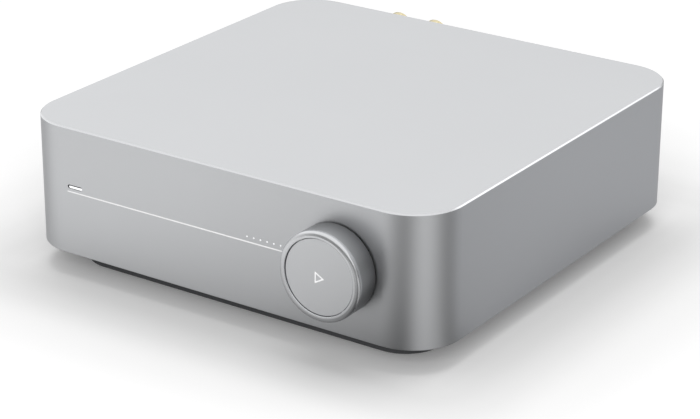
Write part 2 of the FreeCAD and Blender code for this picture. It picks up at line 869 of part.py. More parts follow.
def make_phono_sleeves():
    body = new_body("phono_sleeves", phono_x)
    bore = s.phono_sleeve - s.phono_sleeve_wall
    free = Drawing(body, "XZ_Plane", -(panel_face + s.phono_reach))
    root = Drawing(body, "XZ_Plane", -(panel_face + s.phono_ring_reach))
    for z in phono_z:
        free.circle(0, z, s.phono_sleeve)
        free.circle(0, z, bore)
        root.circle(0, z, s.phono_sleeve_root)
        root.circle(0, z, bore)
    pad(body, free, s.phono_reach - s.phono_ring_reach)
    pad(body, root, panel_face + s.phono_ring_reach - phono_root)
    return body


def make_phono_insulator(label, z):
    """The coloured core inside one sleeve and the coloured ring round its root."""
    body = new_body(label, phono_x)
    core = Drawing(body, "XZ_Plane", -(panel_face + s.phono_reach - s.phono_core_drop))
    core.circle(0, z, s.phono_sleeve - s.phono_sleeve_wall - s.location_gap)
    core.circle(0, z, s.phono_core_hole)
    pad(body, core, panel_face + s.phono_reach - s.phono_core_drop - phono_root)
    ring = Drawing(body, "XZ_Plane", -(panel_face + s.phono_ring_reach))
    ring.circle(0, z, s.phono_ring)
    ring.circle(0, z, s.phono_sleeve_root + s.location_gap)
    pad(body, ring, panel_face + s.phono_ring_reach - phono_root)
    return body


# Optical socket

shutter_y = panel_face - s.optical_lip - s.moving_gap - s.shutter_barrel
room_low = board_top + s.optical_sill
room_high = room_low + s.optical_room_height
shutter_z = room_high - s.moving_gap - s.shutter_barrel


def make_optical_socket():
    body = new_body("optical_socket", optical_x)
    block = Drawing(body, "XZ_Plane", -panel_face)
    half = s.optical_width / 2
    block.rectangle(-half, board_top, half, board_top + s.optical_height)
    pad(body, block, s.optical_depth)
    mouth = Drawing(body, "XZ_Plane", -panel_face)
    mouth_half = s.optical_mouth / 2
    mouth.rectangle(-mouth_half, room_low + s.moving_gap, mouth_half, room_low + s.moving_gap + s.optical_mouth)
    pocket_inwards(body, mouth, s.optical_lip)
    room = Drawing(body, "XZ_Plane", -(panel_face - s.optical_lip))
    room_half = s.optical_room / 2
    room.rectangle(-room_half, room_low, room_half, room_high)
    pocket_inwards(body, room, s.optical_room_depth)
    bearing = Drawing(body, "YZ_Plane", -room_half - s.shutter_bearing)
    bearing.circle(shutter_y, shutter_z, s.shutter_pin + s.running_gap)
    pocket(body, bearing, s.optical_room + 2 * s.shutter_bearing, along=True)
    return body


def make_optical_shutter():
    """A flap that hangs from a barrel across the mouth's upper edge."""
    body = new_body("optical_shutter", optical_x)
    half = s.optical_room / 2 - s.shutter_side_gap
    barrel = Drawing(body, "YZ_Plane", -half)
    barrel.circle(shutter_y, shutter_z, s.shutter_barrel)
    pad(body, barrel, 2 * half)
    flap = Drawing(body, "YZ_Plane", -half)
    flap_front = shutter_y + s.shutter_barrel
    flap.rectangle(flap_front - s.shutter_thickness, room_low + s.moving_gap, flap_front, shutter_z)
    pad(body, flap, 2 * half)
    reach = s.shutter_side_gap + s.shutter_bearing - s.location_gap
    pins = Drawing(body, "YZ_Plane", -half - reach)
    pins.circle(shutter_y, shutter_z, s.shutter_pin)
    pad(body, pins, 2 * (half + reach))
    return body


# HDMI, USB and network sockets

def make_hdmi_shell():
    body = new_body("hdmi_shell", hdmi_x)
    face = Drawing(body, "XZ_Plane", -panel_face)
    draw_hdmi(face, 0)
    pad(body, face, s.hdmi_depth)
    room = Drawing(body, "XZ_Plane", -panel_face)
    draw_hdmi(room, s.shell_wall)
    pocket_inwards(body, room, s.hdmi_depth - s.shell_wall)
    return body


def draw_hdmi(drawing, inset):
    """The socket's outline, bevelled at its two lower corners."""
    half = s.hdmi_width / 2 - inset
    low = board_top + inset
    high = board_top + s.hdmi_height - inset
    drawing.polygon([
        (-half + s.hdmi_bevel, low),
        (half - s.hdmi_bevel, low),
        (half, low + s.hdmi_bevel),
        (half, high),
        (-half, high),
        (-half, low + s.hdmi_bevel),
    ])


def make_hdmi_tongue():
    depth = s.hdmi_depth - s.shell_wall - s.tongue_setback
    y = panel_face - s.tongue_setback - depth / 2
    z = board_top + s.hdmi_height / 2 - s.hdmi_tongue_height / 2
    return box("hdmi_tongue", hdmi_x, y, z, s.hdmi_tongue_width, depth, s.hdmi_tongue_height)


def make_usb_shell():
    """The USB socket, which stands on the network socket's ledge."""
    body = new_body("usb_shell", network_x)
    middle = usb_low + s.usb_height / 2
    face = Drawing(body, "XZ_Plane", -panel_face)
    face.middle_rectangle(size_of(0), middle, s.usb_width, s.usb_height)
    pad(body, face, s.usb_depth)
    room = Drawing(body, "XZ_Plane", -panel_face)
    room.middle_rectangle(size_of(0), middle, s.usb_width - 2 * s.shell_wall, s.usb_height - 2 * s.shell_wall)
    pocket_inwards(body, room, s.usb_depth - s.shell_wall)
    return body


def make_usb_tongue():
    depth = s.usb_depth - s.shell_wall - s.tongue_setback
    y = panel_face - s.tongue_setback - depth / 2
    z = usb_low + s.usb_height - s.shell_wall - s.usb_tongue_drop - s.usb_tongue_height
    return box("usb_tongue", network_x, y, z, s.usb_tongue_width, depth, s.usb_tongue_height)


room_floor = board_top + s.network_room_sill
room_ceiling = room_floor + s.network_room_height


def make_network_shell():
    """The network socket, with a ledge on its roof that carries the USB socket behind the panel."""
    body = new_body("network_shell", network_x)
    face = Drawing(body, "XZ_Plane", -panel_face)
    face.middle_rectangle(size_of(0), board_top + s.network_height / 2, s.network_width, s.network_height)
    pad(body, face, s.network_depth)
    ledge_face = panel_inner - s.assembly_gap
    ledge = Drawing(body, "XZ_Plane", -ledge_face)
    ledge_low = board_top + s.network_height
    ledge.rectangle(-s.usb_width / 2, ledge_low, s.usb_width / 2, usb_low)
    pad(body, ledge, ledge_face - (panel_face - s.usb_depth))
    room = Drawing(body, "XZ_Plane", -panel_face)
    half, notch = s.network_room_width / 2, s.network_notch_width / 2
    notch_floor = room_floor - s.network_notch_height
    room.polygon([
        (-notch, notch_floor),
        (notch, notch_floor),
        (notch, room_floor),
        (half, room_floor),
        (half, room_ceiling),
        (-half, room_ceiling),
        (-half, room_floor),
        (-notch, room_floor),
    ])
    pocket_inwards(body, room, s.network_room_depth)
    return body


def make_network_contacts():
    """Eight contact bars under the roof of the network socket's room."""
    body = new_body("network_contacts", network_x)
    bars = Drawing(body, "XZ_Plane", -(panel_face - s.contact_setback))
    for place_number in range(8):
        x = s.contact_pitch * (place_number - 3.5)
        bars.rectangle(x - s.contact_width / 2, room_ceiling - s.contact_height, x + s.contact_width / 2,
                       room_ceiling)
    pad(body, bars, s.network_room_depth - s.contact_setback)
    return body


# Mains inlet

def make_mains_inlet():
    body = new_body("mains_inlet", inlet_x)
    block = Drawing(body, "XZ_Plane", -panel_face)
    block.middle_rectangle(size_of(0), inlet_z, s.inlet_width, s.inlet_height)
    pad(body, block, s.inlet_depth)
    slot = Drawing(body, "XZ_Plane", -panel_face)
    slot.rounded(0, inlet_z, s.inlet_slot_width, s.inlet_slot_height, s.inlet_slot_height / 2 - s.location_gap)
    pocket_inwards(body, slot, s.inlet_slot_depth)
    return body


def make_mains_pins():
    body = new_body("mains_pins", inlet_x)
    pins = Drawing(body, "XZ_Plane", -(panel_face - s.inlet_slot_depth))
    for side in (-1, 1):
        pins.circle(s.inlet_pin_pitch / 2 * side, inlet_z, s.inlet_pin_radius)
    pad(body, pins, s.inlet_pin_length, backwards=True)
    return body


# Boards

def make_main_board():
    body = new_body("main_board")
    plan = Drawing(body, "XY_Plane", s.board_height)
    plan.polygon([
        (board_left, main_front),
        (s.main_step_x, main_front),
        (s.main_step_x, main_step_y),
        (main_right, main_step_y),
        (main_right, board_back),
        (board_left, board_back),
    ])
    pad(body, plan, s.board_thickness)
    drill_board(body, main_standoffs)
    return body


def make_power_board():
    body = new_body("power_board")
    plan = Drawing(body, "XY_Plane", s.board_height)
    plan.polygon([
        (power_step_x, power_front),
        (board_right, power_front),
        (board_right, board_back),
        (power_left, board_back),
        (power_left, power_step_y),
        (power_step_x, power_step_y),
    ])
    pad(body, plan, s.board_thickness)
    drill_board(body, power_standoffs)
    return body


left_row = board_left + s.standoff_inset
right_row = board_right - s.standoff_inset
back_row = board_back - s.standoff_back_inset
main_standoffs = [
    (left_row, main_front + s.standoff_inset),
    (s.main_step_x - s.standoff_inset, main_front + s.standoff_inset),
    (main_right - s.standoff_inset, back_row),
    (left_row, back_row),
]
power_standoffs = [
    (power_step_x + s.standoff_inset, power_front + s.standoff_inset),
    (right_row, power_front + s.standoff_inset),
    (right_row, back_row),
    (power_step_x + s.standoff_inset, power_step_y - s.standoff_inset),
]


def drill_board(body, points):
    holes = Drawing(body, "XY_Plane", s.board_height)
    for x, y in points:
        holes.circle(x, y, s.standoff_hole + s.location_gap)
    pocket(body, holes, s.board_thickness, along=True)


def make_standoffs():
    body = new_body("board_standoffs")
    tubes = Drawing(body, "XY_Plane", tub_floor_top)
    for x, y in main_standoffs + power_standoffs:
        tubes.circle(x, y, s.standoff_radius)
        tubes.circle(x, y, s.standoff_hole)
    pad(body, tubes, s.board_height - tub_floor_top)
    return body


def make_board_screws():
    body = new_body("board_screws")
    heads = Drawing(body, "XY_Plane", board_top)
    shanks = Drawing(body, "XY_Plane", board_top)
    for x, y in main_standoffs + power_standoffs:
        heads.circle(x, y, s.board_screw_head)
        shanks.circle(x, y, s.standoff_hole - s.location_gap)
    pad(body, heads, s.board_screw_head_height)
    pad(body, shanks, s.board_screw_length, backwards=True)
    return body


def make_front_board():
    """The upright board behind the front wall, which carries the encoder and the lights."""
    body = new_body("front_board")
    face = Drawing(body, "XZ_Plane", -front_board_y)
    half = boss_x - s.boss_radius - s.front_board_side_gap
    face.rectangle(-half, flange_top + s.assembly_gap, half, ceiling - s.front_board_drop)
    pad(body, face, s.board_thickness, backwards=True)
    return body


def make_ribbon_cable():
    """A flat cable that leaves the front board, turns down and lies on the main board."""
    body = new_body("ribbon_cable")
    side = Drawing(body, "YZ_Plane", s.ribbon_x - s.ribbon_width / 2)
    start = front_board_y + s.board_thickness
    level = board_top + s.ribbon_rise
    bend = start + s.ribbon_out
    thick = s.ribbon_thickness
    side.polygon([
        (start, level),
        (start, level - thick),
        (bend - thick, level - thick),
        (bend - thick, board_top),
        (ribbon_end, board_top),
        (ribbon_end, board_top + thick),
        (bend, board_top + thick),
        (bend, level),
    ])
    pad(body, side, s.ribbon_width)
    return body


# Power supply

def make_transformer_core():
    """Two E-shaped halves seen as one: three legs between two yokes."""
    body = new_body("transformer_core", core_x, s.core_y, board_top)
    face = Drawing(body, "XZ_Plane", -s.core_depth / 2)
    face.rectangle(-s.core_width / 2, 0, s.core_width / 2, s.core_height)
    near = s.core_leg / 2
    far = near + s.core_window
    low, high = s.core_yoke, s.core_height - s.core_yoke
    face.rectangle(near, low, far, high)
    face.rectangle(-far, low, -near, high)
    pad(body, face, s.core_depth)
    return body


def make_transformer_winding():
    """The wound former round the core's middle leg."""
    body = new_body("transformer_winding", core_x, s.core_y, board_top)
    gap = s.assembly_gap
    plan = Drawing(body, "XY_Plane", s.core_yoke + gap)
    plan.rounded(0, 0, s.core_leg + 2 * (s.core_window - gap), s.winding_depth, s.winding_corner)
    plan.middle_rectangle(size_of(0), size_of(0), s.core_leg + 2 * gap, s.core_depth + 2 * gap)
    pad(body, plan, s.core_height - 2 * (s.core_yoke + gap))
    return body


def make_bulk_capacitor():
    can = doc.addObject("Part::Cylinder", "bulk_capacitor")
    can.Label = "bulk_capacitor"
    bind(can, "Radius", s.capacitor_radius)
    bind(can, "Height", s.capacitor_height)
    place(can, capacitor_x, capacitor_y, board_top)
    return can


def make_line_choke():
    ring = doc.addObject("Part::Torus", "line_choke")
    ring.Label = "line_choke"
    bind(ring, "Radius1", s.choke_ring)
    bind(ring, "Radius2", s.choke_thickness)
    place(ring, inlet_x, choke_y, board_top + s.choke_thickness)
    return ring


# Amplifier

def make_amp_heat_sink():
    """A base that lies on the amplifier chip, with upright fins."""
    body = new_body("amp_heat_sink", amp_x, s.amp_y, board_top + s.amp_chip_height)
    base = Drawing(body, "XY_Plane", 0)
    base.middle_rectangle(size_of(0), size_of(0), s.sink_width, s.sink_depth)
    pad(body, base, s.sink_base)
    fin = Drawing(body, "XY_Plane", s.sink_base)
    left = -s.sink_width / 2
    fin.rectangle(left, -s.sink_depth / 2, left + s.fin_thickness, s.sink_depth / 2)
    first = pad(body, fin, s.sink_height - s.sink_base)
    row_of(body, first, fin, s.sink_width - s.fin_thickness, s.fin_count)
    return body


def make_output_inductors():
    body = new_body("output_inductors")
    plan = Drawing(body, "XY_Plane", board_top)
    for x in output_row():
        plan.circle(x, inductor_y, s.inductor_radius)
    pad(body, plan, s.inductor_height)
    return body


def make_filter_capacitors():
    body = new_body("filter_capacitors")
    plan = Drawing(body, "XY_Plane", board_top)
    for x in output_row():
        plan.middle_rectangle(x, film_y, s.film_width, s.film_depth)
    pad(body, plan, s.film_height)
    return body


def output_row():
    """The four output filters stand in a row about the amplifier's middle line."""
    return [amp_x + s.inductor_pitch * (number - 1.5) for number in range(4)]


def make_antennas():
    """Two flat antennas on the inner face of the rear panel."""
    body = new_body("antennas")
    face = Drawing(body, "XZ_Plane", -(panel_inner - s.antenna_thickness))
    high = opening_high - s.panel_rim - s.antenna_drop
    for left in (s.antenna_left, s.antenna_left + s.antenna_pitch):
        face.rectangle(left, high - s.antenna_height, left + s.antenna_length, high)
    pad(body, face, s.antenna_thickness, backwards=True)
    return body


# Front lights

def make_status_lens():
    """A light guide from the status chip to the slot in the front wall."""
    body = new_body("status_lens")
    gap = s.location_gap
    bar = Drawing(body, "XZ_Plane", -(front + s.lamp_recess))
    height = s.lamp_height - 2 * gap
    bar.rounded(lamp_x, lamp_z, s.lamp_width - 2 * gap, height, height / 2 - gap / 2)
    pad(body, bar, lamp_chip_y - s.chip_gap - front - s.lamp_recess, backwards=True)
    flange = Drawing(body, "XZ_Plane", -(front + s.side_wall))
    flange.rounded(lamp_x, lamp_z, s.lamp_width + 2 * s.lamp_flange, s.lamp_height + 2 * s.lamp_flange,
                   s.lamp_flange)
    pad(body, flange, s.lamp_flange, backwards=True)
    return body


def make_level_lens():
    """A bar behind the front wall with one light pin in each of the small holes."""
    body = new_body("level_lens")
    back = Drawing(body, "XZ_Plane", -(front + s.side_wall))
    back.rectangle(dot_first - s.guide_margin, lamp_z - s.guide_height / 2,
                   dot_first + dot_run + s.guide_margin, lamp_z + s.guide_height / 2)
    pad(body, back, lamp_chip_y - s.chip_gap - front - s.side_wall, backwards=True)
    pin = Drawing(body, "XZ_Plane", -front)
    pin.circle(dot_first, lamp_z, s.dot_radius - s.location_gap)
    first = pad(body, pin, s.side_wall, backwards=True)
    row_of(body, first, pin, dot_run, s.dot_count)
    return body


def make_front_line():
    """The thin line let into the front wall."""
    body = new_body("front_line")
    line = Drawing(body, "XZ_Plane", -front)
    line.rectangle(line_left, knob_z - s.line_width / 2, line_right, knob_z + s.line_width / 2)
    pad(body, line, s.line_depth, backwards=True)
    return body


def make_light_chips():
    """The small light sources on the front board: one for the status light, one for each dot."""
    body = new_body("light_chips")
    chips = Drawing(body, "XZ_Plane", -front_board_y)
    chips.middle_rectangle(lamp_x, lamp_z, s.chip_size, s.chip_size)
    for number in range(int(SIZES["dot_count"])):
        chips.middle_rectangle(dot_first + s.dot_pitch * number, lamp_z, s.chip_size, s.chip_size)
    pad(body, chips, s.chip_height)
    return body


# Encoder and knob: their own origin is on the knob's axis at the front wall's face, so a point
# that stands out of the front by p lies at y = -p

def make_encoder_body():
    body = new_body("encoder_body", knob_x, front, knob_z)
    block = Drawing(body, "XZ_Plane", -s.side_wall)
    block.middle_rectangle(size_of(0), size_of(0), s.encoder_width, s.encoder_width)
    pad(body, block, s.encoder_depth, backwards=True)
    neck = Drawing(body, "XZ_Plane", s.neck_reach)
    neck.circle(0, 0, s.neck_radius)
    pad(body, neck, s.neck_reach + s.side_wall, backwards=True)
    bore = Drawing(body, "XZ_Plane", s.neck_reach)
    bore.circle(0, 0, s.shaft_radius + s.running_gap)
    pocket(body, bore, s.neck_reach + shoulder)
    chamber = Drawing(body, "XZ_Plane", -shoulder)
    chamber.circle(0, 0, s.chamber_radius)
    pocket(body, chamber, s.side_wall + s.encoder_depth - shoulder)
    return body


def make_encoder_nut():
    body = new_body("encoder_nut", knob_x, front, knob_z)
    nut = Drawing(body, "XZ_Plane", 0)
    nut.hexagon(0, 0, s.nut_flats)
    nut.circle(0, 0, s.neck_radius + s.location_gap)
    pad(body, nut, s.nut_height)
    return body


seat = s.knob_reach - s.face_drop - s.face_thickness
web_back = seat - s.web_thickness


def make_encoder_shaft():
    body = new_body("encoder_shaft", knob_x, front, knob_z)
    profile = Drawing(body, "XY_Plane", 0)
    flange_front = shoulder + s.moving_gap
    flange_back = flange_front + s.shaft_flange_thickness
    profile.polygon([
        (0, shaft_end),
        (s.shaft_radius, shaft_end),
        (s.shaft_radius, flange_back),
        (s.shaft_flange, flange_back),
        (s.shaft_flange, flange_front),
        (s.shaft_radius, flange_front),
        (s.shaft_radius, s.shaft_top_gap - seat),
        (0, s.shaft_top_gap - seat),
    ])
    revolve(body, profile)
    return body


def make_switch_plunger():
    body = new_body("switch_plunger", knob_x, front, knob_z)
    disc = Drawing(body, "XZ_Plane", -(shaft_end + s.moving_gap))
    disc.circle(0, 0, s.plunger_radius)
    back = s.side_wall + s.encoder_depth - s.press_travel - s.moving_gap
    pad(body, disc, back - shaft_end - s.moving_gap, backwards=True)
    return body


def make_knob_bush():
    """The plastic bush that grips the shaft and fills the knob's middle."""
    body = new_body("knob_bush", knob_x, front, knob_z)
    ring = Drawing(body, "XZ_Plane", web_back)
    ring.circle(0, 0, s.bush_radius)
    ring.circle(0, 0, s.shaft_radius)
    pad(body, ring, web_back - s.neck_reach - knob_gap, backwards=True)
    return body


def make_knob_ring():
    """The knob's sleeve and rim, with a web that carries the face disc."""
    body = new_body("knob_ring", knob_x, front, knob_z)
    inner = s.knob_radius - s.knob_wall
    groove = s.face_radius + s.face_gap
    profile = Drawing(body, "XY_Plane", 0)
    profile.polygon([
        (inner, -knob_gap),
        (s.knob_radius, -knob_gap),
        (s.rim_radius, -s.rim_start),
        (s.rim_radius, -s.knob_reach),
        (s.rim_inner, -s.knob_reach),
        (groove, -(s.knob_reach - s.rim_bevel)),
        (groove, -seat),
        (s.shaft_radius + s.location_gap, -seat),
        (s.shaft_radius + s.location_gap, -web_back),
        (inner, -web_back),
    ])
    turned = revolve(body, profile)
    doc.recompute()
    rim = edges_where(turned, lambda edge: is_ring(edge, s.rim_radius)
                      and lies_at(edge, "y", -s.knob_reach))
    dress(body, "Fillet", turned, rim, s.rim_round - s.location_gap)
    return body


def make_knob_face():
    body = new_body("knob_face", knob_x, front, knob_z)
    top = s.knob_reach - s.face_drop
    profile = Drawing(body, "XY_Plane", 0)
    profile.polygon([
        (0, -seat),
        (s.face_radius, -seat),
        (s.face_radius, -(top - s.face_chamfer)),
        (s.face_radius - s.face_chamfer, -top),
        (0, -top),
    ])
    revolve(body, profile)
    mark = Drawing(body, "XZ_Plane", top)
    draw_mark(mark)
    pocket(body, mark, s.mark_depth)
    return body


def make_play_mark():
    body = new_body("play_mark", knob_x, front, knob_z)
    mark = Drawing(body, "XZ_Plane", s.knob_reach - s.face_drop)
    draw_mark(mark)
    pad(body, mark, s.mark_depth, backwards=True)
    return body


def draw_mark(drawing):
    """The outline of a triangle that points right, with a stroke of even width inside it."""
    width, height, stroke = number_of(s.mark_width), number_of(s.mark_height), number_of(s.mark_stroke)
    slant = math.hypot(width, height / 2)
    tip = stroke * slant / (height / 2)
    inner_height = (width - stroke - tip) * height / width
    outer = drawing.polygon([
        (-s.mark_width / 2, -s.mark_height / 2),
        (s.mark_width / 2, 0),
        (-s.mark_width / 2, s.mark_height / 2),
    ])
    corners = [
        FreeCAD.Vector(stroke - width / 2, -inner_height / 2, 0),
        FreeCAD.Vector(width / 2 - tip, 0, 0),
        FreeCAD.Vector(stroke - width / 2, inner_height / 2, 0),
    ]
    following = corners[1:] + corners[:1]
    inner = [drawing.sketch.addGeometry(Part.LineSegment(a, b)) for a, b in zip(corners, following)]
    for line, after in zip(inner, inner[1:] + inner[:1]):
        drawing.tie("Coincident", line, 2, after, 1)
    for side, line in zip(outer, inner):
        drawing.tie("Parallel", side, line)
        drawing.hold("Distance", s.mark_stroke, line, 1, side)


sub_parts = [
    make_case(),
    make_base_plate(),
    make_foot(),
    make_base_screws(),
    make_rear_panel(),
    make_post_studs(),
    make_post_collars("post_collars_red", post_z[0]),
    make_post_collars("post_collars_black", post_z[1]),
    make_post_nuts(),
    make_phono_block(),
    make_phono_sleeves(),
    make_optical_socket(),
    make_optical_shutter(),
    make_hdmi_shell(),
    make_hdmi_tongue(),
    make_usb_shell(),
    make_usb_tongue(),
    make_network_shell(),
    make_network_contacts(),
    make_mains_inlet(),
    make_mains_pins(),
    make_main_board(),
    make_power_board(),
    make_standoffs(),
    make_board_screws(),
    make_front_board(),
    make_ribbon_cable(),
    make_transformer_core(),
    make_transformer_winding(),
    make_bulk_capacitor(),
    make_line_choke(),
    box("amp_chip", amp_x, s.amp_y, board_top, s.amp_chip_width, s.amp_chip_width, s.amp_chip_height),
    make_amp_heat_sink(),
    make_output_inductors(),
    make_filter_capacitors(),
    box("radio_shield", radio_x, radio_y, board_top, s.radio_width, s.radio_depth, s.radio_height),
    make_antennas(),
    make_status_lens(),
    make_level_lens(),
    make_front_line(),
    make_light_chips(),
    make_encoder_body(),
    make_encoder_nut(),
    make_encoder_shaft(),
    make_switch_plunger(),
    make_knob_bush(),
    make_knob_ring(),
    make_knob_face(),
    make_play_mark(),
]
for number, (x, z) in enumerate(post_points(), 1):
    sub_parts.append(make_post_washer(number, x, z))
    sub_parts.append(make_post_cap(number, x, z))
for label, z in zip(["phono_core_black", "phono_core_red", "phono_core_white"], phono_z):
    sub_parts.append(make_phono_insulator(label, z))

doc.recompute()
for thing in doc.Objects:
    if "Invalid" in thing.State or "Error" in thing.State:
        raise RuntimeError("%s failed: %s" % (thing.Label, thing.State))
for part in sub_parts:
    if part.Shape.isNull() or not part.Shape.isValid() or not part.Shape.Solids:
        raise RuntimeError("%s has no valid solid" % part.Label)

os.makedirs("parts", exist_ok=True)
for part in sub_parts:
    part.Shape.exportStep("parts/%s.step" % part.Label)
print("%d sub-parts written" % len(sub_parts))
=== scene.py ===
import math

import bmesh
import bpy
import numpy as np
from mathutils import Matrix, Vector


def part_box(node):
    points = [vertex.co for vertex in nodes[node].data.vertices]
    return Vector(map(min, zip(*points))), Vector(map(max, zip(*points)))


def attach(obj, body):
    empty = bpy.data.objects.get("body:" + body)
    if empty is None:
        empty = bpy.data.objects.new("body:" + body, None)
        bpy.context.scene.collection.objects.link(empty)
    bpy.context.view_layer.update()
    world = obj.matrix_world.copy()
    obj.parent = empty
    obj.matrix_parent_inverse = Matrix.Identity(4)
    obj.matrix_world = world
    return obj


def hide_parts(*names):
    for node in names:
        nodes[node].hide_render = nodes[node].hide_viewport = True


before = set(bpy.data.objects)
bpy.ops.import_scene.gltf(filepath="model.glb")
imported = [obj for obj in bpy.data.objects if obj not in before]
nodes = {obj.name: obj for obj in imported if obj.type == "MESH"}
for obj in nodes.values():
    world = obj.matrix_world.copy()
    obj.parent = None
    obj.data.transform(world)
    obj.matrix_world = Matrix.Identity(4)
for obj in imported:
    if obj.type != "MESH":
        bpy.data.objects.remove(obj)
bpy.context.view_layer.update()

# Streaming amplifier on a pale floor. Metres, +Z up, the knob side towards -Y.
scene = bpy.context.scene
mm = 0.001


# Camera: the photo's own angle, found from the straight edges of the case

camera = {
    "azimuth": 34.159,      # degrees from -Y towards +X
    "elevation": 22.697,
    "roll": 0.2425,
    "distance": 0.968015,
    "aim": (-0.007154, 0.000943, 0.009644),
    "lens": 121.4,
    "sensor": 36.0,
    "clip": (0.01, 50),
}


# The eye stands at aim + back x distance. Back is the unit vector of azimuth and elevation.
def placeCamera(settings):
    azimuth, elevation, roll = (math.radians(settings[k]) for k in ("azimuth", "elevation", "roll"))
    back = Vector((math.sin(azimuth) * math.cos(elevation),
                   -math.cos(azimuth) * math.cos(elevation),
                   math.sin(elevation)))
    right = Vector((math.cos(azimuth), math.sin(azimuth), 0))
    up = back.cross(right)
    turnedRight = right * math.cos(roll) + up * math.sin(roll)
    turnedUp = up * math.cos(roll) - right * math.sin(roll)
    lens = bpy.data.cameras.new("camera")
    lens.lens, lens.sensor_width, lens.sensor_fit = settings["lens"], settings["sensor"], "HORIZONTAL"
    lens.clip_start, lens.clip_end = settings["clip"]
    eye = bpy.data.objects.new("camera", lens)
    place = Matrix((turnedRight, turnedUp, back)).transposed().to_4x4()
    place.translation = Vector(settings["aim"]) + back * settings["distance"]
    eye.matrix_world = place
    scene.collection.objects.link(eye)
    scene.camera = eye


placeCamera(camera)
print("camera placed")


# Nodes and node groups

# Adds a shader node. An input given as a socket is linked, and any other is set.
def addNode(tree, kind, inputs=None, **settings):
    node = tree.nodes.new("ShaderNode" + kind)
    for name, value in settings.items():
        setattr(node, name, value)
    for name, value in (inputs or {}).items():
        if isinstance(value, bpy.types.NodeSocket):
            tree.links.new(value, node.inputs[name])
        else:
            node.inputs[name].default_value = value
    return node


# The result of one Math node
def mathOf(tree, operation, *values):
    return addNode(tree, "Math", dict(enumerate(values)), operation=operation).outputs[0]


def times(tree, first, second):
    return mathOf(tree, "MULTIPLY", first, second)


# The result is a vector, or with "Value" the number that a length or a dot product gives.
def vectorOf(tree, operation, *values, result="Vector"):
    return addNode(tree, "VectorMath", dict(enumerate(values)), operation=operation).outputs[result]


# x, y and z of a vector
def partsOf(tree, vector):
    return addNode(tree, "SeparateXYZ", {0: vector}).outputs


# A grey ramp through (place, level) stops.
def rampOf(tree, factor, stops, interpolation="EASE"):
    ramp = addNode(tree, "ValToRGB", {0: factor})
    elements = ramp.color_ramp.elements
    ramp.color_ramp.interpolation = interpolation
    while len(elements) < len(stops):
        elements.new(0.5)
    for element, (place, level) in zip(elements, stops):
        element.position = place
        element.color = (level, level, level, 1)
    return ramp.outputs[0]


# Brings a value from low..high to toLow..toHigh, and stops at both ends.
def mapRange(tree, value, low, high, toLow=0.0, toHigh=1.0, smooth=False):
    kind = "SMOOTHSTEP" if smooth else "LINEAR"
    inputs = {"Value": value, "From Min": low, "From Max": high, "To Min": toLow, "To Max": toHigh}
    return addNode(tree, "MapRange", inputs, interpolation_type=kind).outputs["Result"]


# first + factor·(second - first)
def mixLevel(tree, factor, first, second):
    return addNode(tree, "Mix", {0: factor, 2: first, 3: second}, data_type="FLOAT").outputs[0]


# Links a socket, or sets a number or a colour.
def putOn(tree, socket, value):
    if isinstance(value, bpy.types.NodeSocket):
        tree.links.new(value, socket)
    elif isinstance(value, (int, float)):
        socket.default_value = value
    else:
        socket.default_value = (*value[:3], 1)


# The Mix node has its factor at input 0, and its colours at inputs 6 and 7 and output 2.
def mixColour(tree, factor, first, second, blend="MIX"):
    node = addNode(tree, "Mix", data_type="RGBA", blend_type=blend)
    for place, value in ((0, factor), (6, first), (7, second)):
        putOn(tree, node.inputs[place], value)
    return node.outputs[2]


def darker(colour, share):
    return tuple(part * share for part in colour)


# A shader group with number inputs {name: value} and number outputs (names)
def newGroup(name, inputs, outputs):
    tree = bpy.data.node_groups.new(name, "ShaderNodeTree")
    kind = "NodeSocketFloat"
    for label, value in inputs.items():
        tree.interface.new_socket(label, in_out="INPUT", socket_type=kind).default_value = value
    for label in outputs:
        tree.interface.new_socket(label, in_out="OUTPUT", socket_type=kind)
    return tree, tree.nodes.new("NodeGroupInput").outputs, tree.nodes.new("NodeGroupOutput").inputs


# Places a group with its own values and gives its outputs.
def useGroup(tree, group, **values):
    node = tree.nodes.new("ShaderNodeGroup")
    node.node_tree = group
    for name, value in values.items():
        putOn(tree, node.inputs[name], value)
    return node.outputs


def objectPlace(tree):
    return addNode(tree, "TexCoord").outputs["Object"]


# (detail, roughness) of the two noises, and the part of the clouds' noise that is used
grainNoise = {"fine": (2.0, 0.6), "cloud": (3.0, 0.55), "cloudRange": (0.3, 0.7)}


# Blasted or moulded grain: fine noise for the height, and slow clouds for gloss and tone.
def makeFineGrain():
    tree, given, out = newGroup("fineGrain", {"Grains per metre": 3000.0, "Clouds per metre": 18.0},
                                ("Height", "Cloud"))
    place = objectPlace(tree)
    noises = enumerate((grainNoise["fine"], grainNoise["cloud"]))
    grain, cloud = (addNode(tree, "TexNoise", {"Vector": place, "Scale": given[k], "Detail": detail,
                                               "Roughness": roughness}).outputs["Fac"]
                    for k, (detail, roughness) in noises)
    tree.links.new(grain, out["Height"])
    tree.links.new(mapRange(tree, cloud, *grainNoise["cloudRange"]), out["Cloud"])
    return tree


latheNoise = {"detail": 1.0, "bandsPerLine": 0.08, "bandRange": (0.35, 0.65)}


# Lathe marks: noise that changes only across the marks.
def makeTurnedLines():
    tree, given, out = newGroup("turnedLines", {"Across": 0.0, "Lines per metre": 9000.0},
                                ("Height", "Band"))
    fine = addNode(tree, "TexNoise", {"W": given[0], "Scale": given[1], "Detail": latheNoise["detail"]},
                   noise_dimensions="1D")
    coarse = times(tree, given[1], latheNoise["bandsPerLine"])
    band = addNode(tree, "TexNoise", {"W": given[0], "Scale": coarse}, noise_dimensions="1D")
    tree.links.new(fine.outputs["Fac"], out["Height"])
    tree.links.new(mapRange(tree, band.outputs["Fac"], *latheNoise["bandRange"]), out["Band"])
    return tree


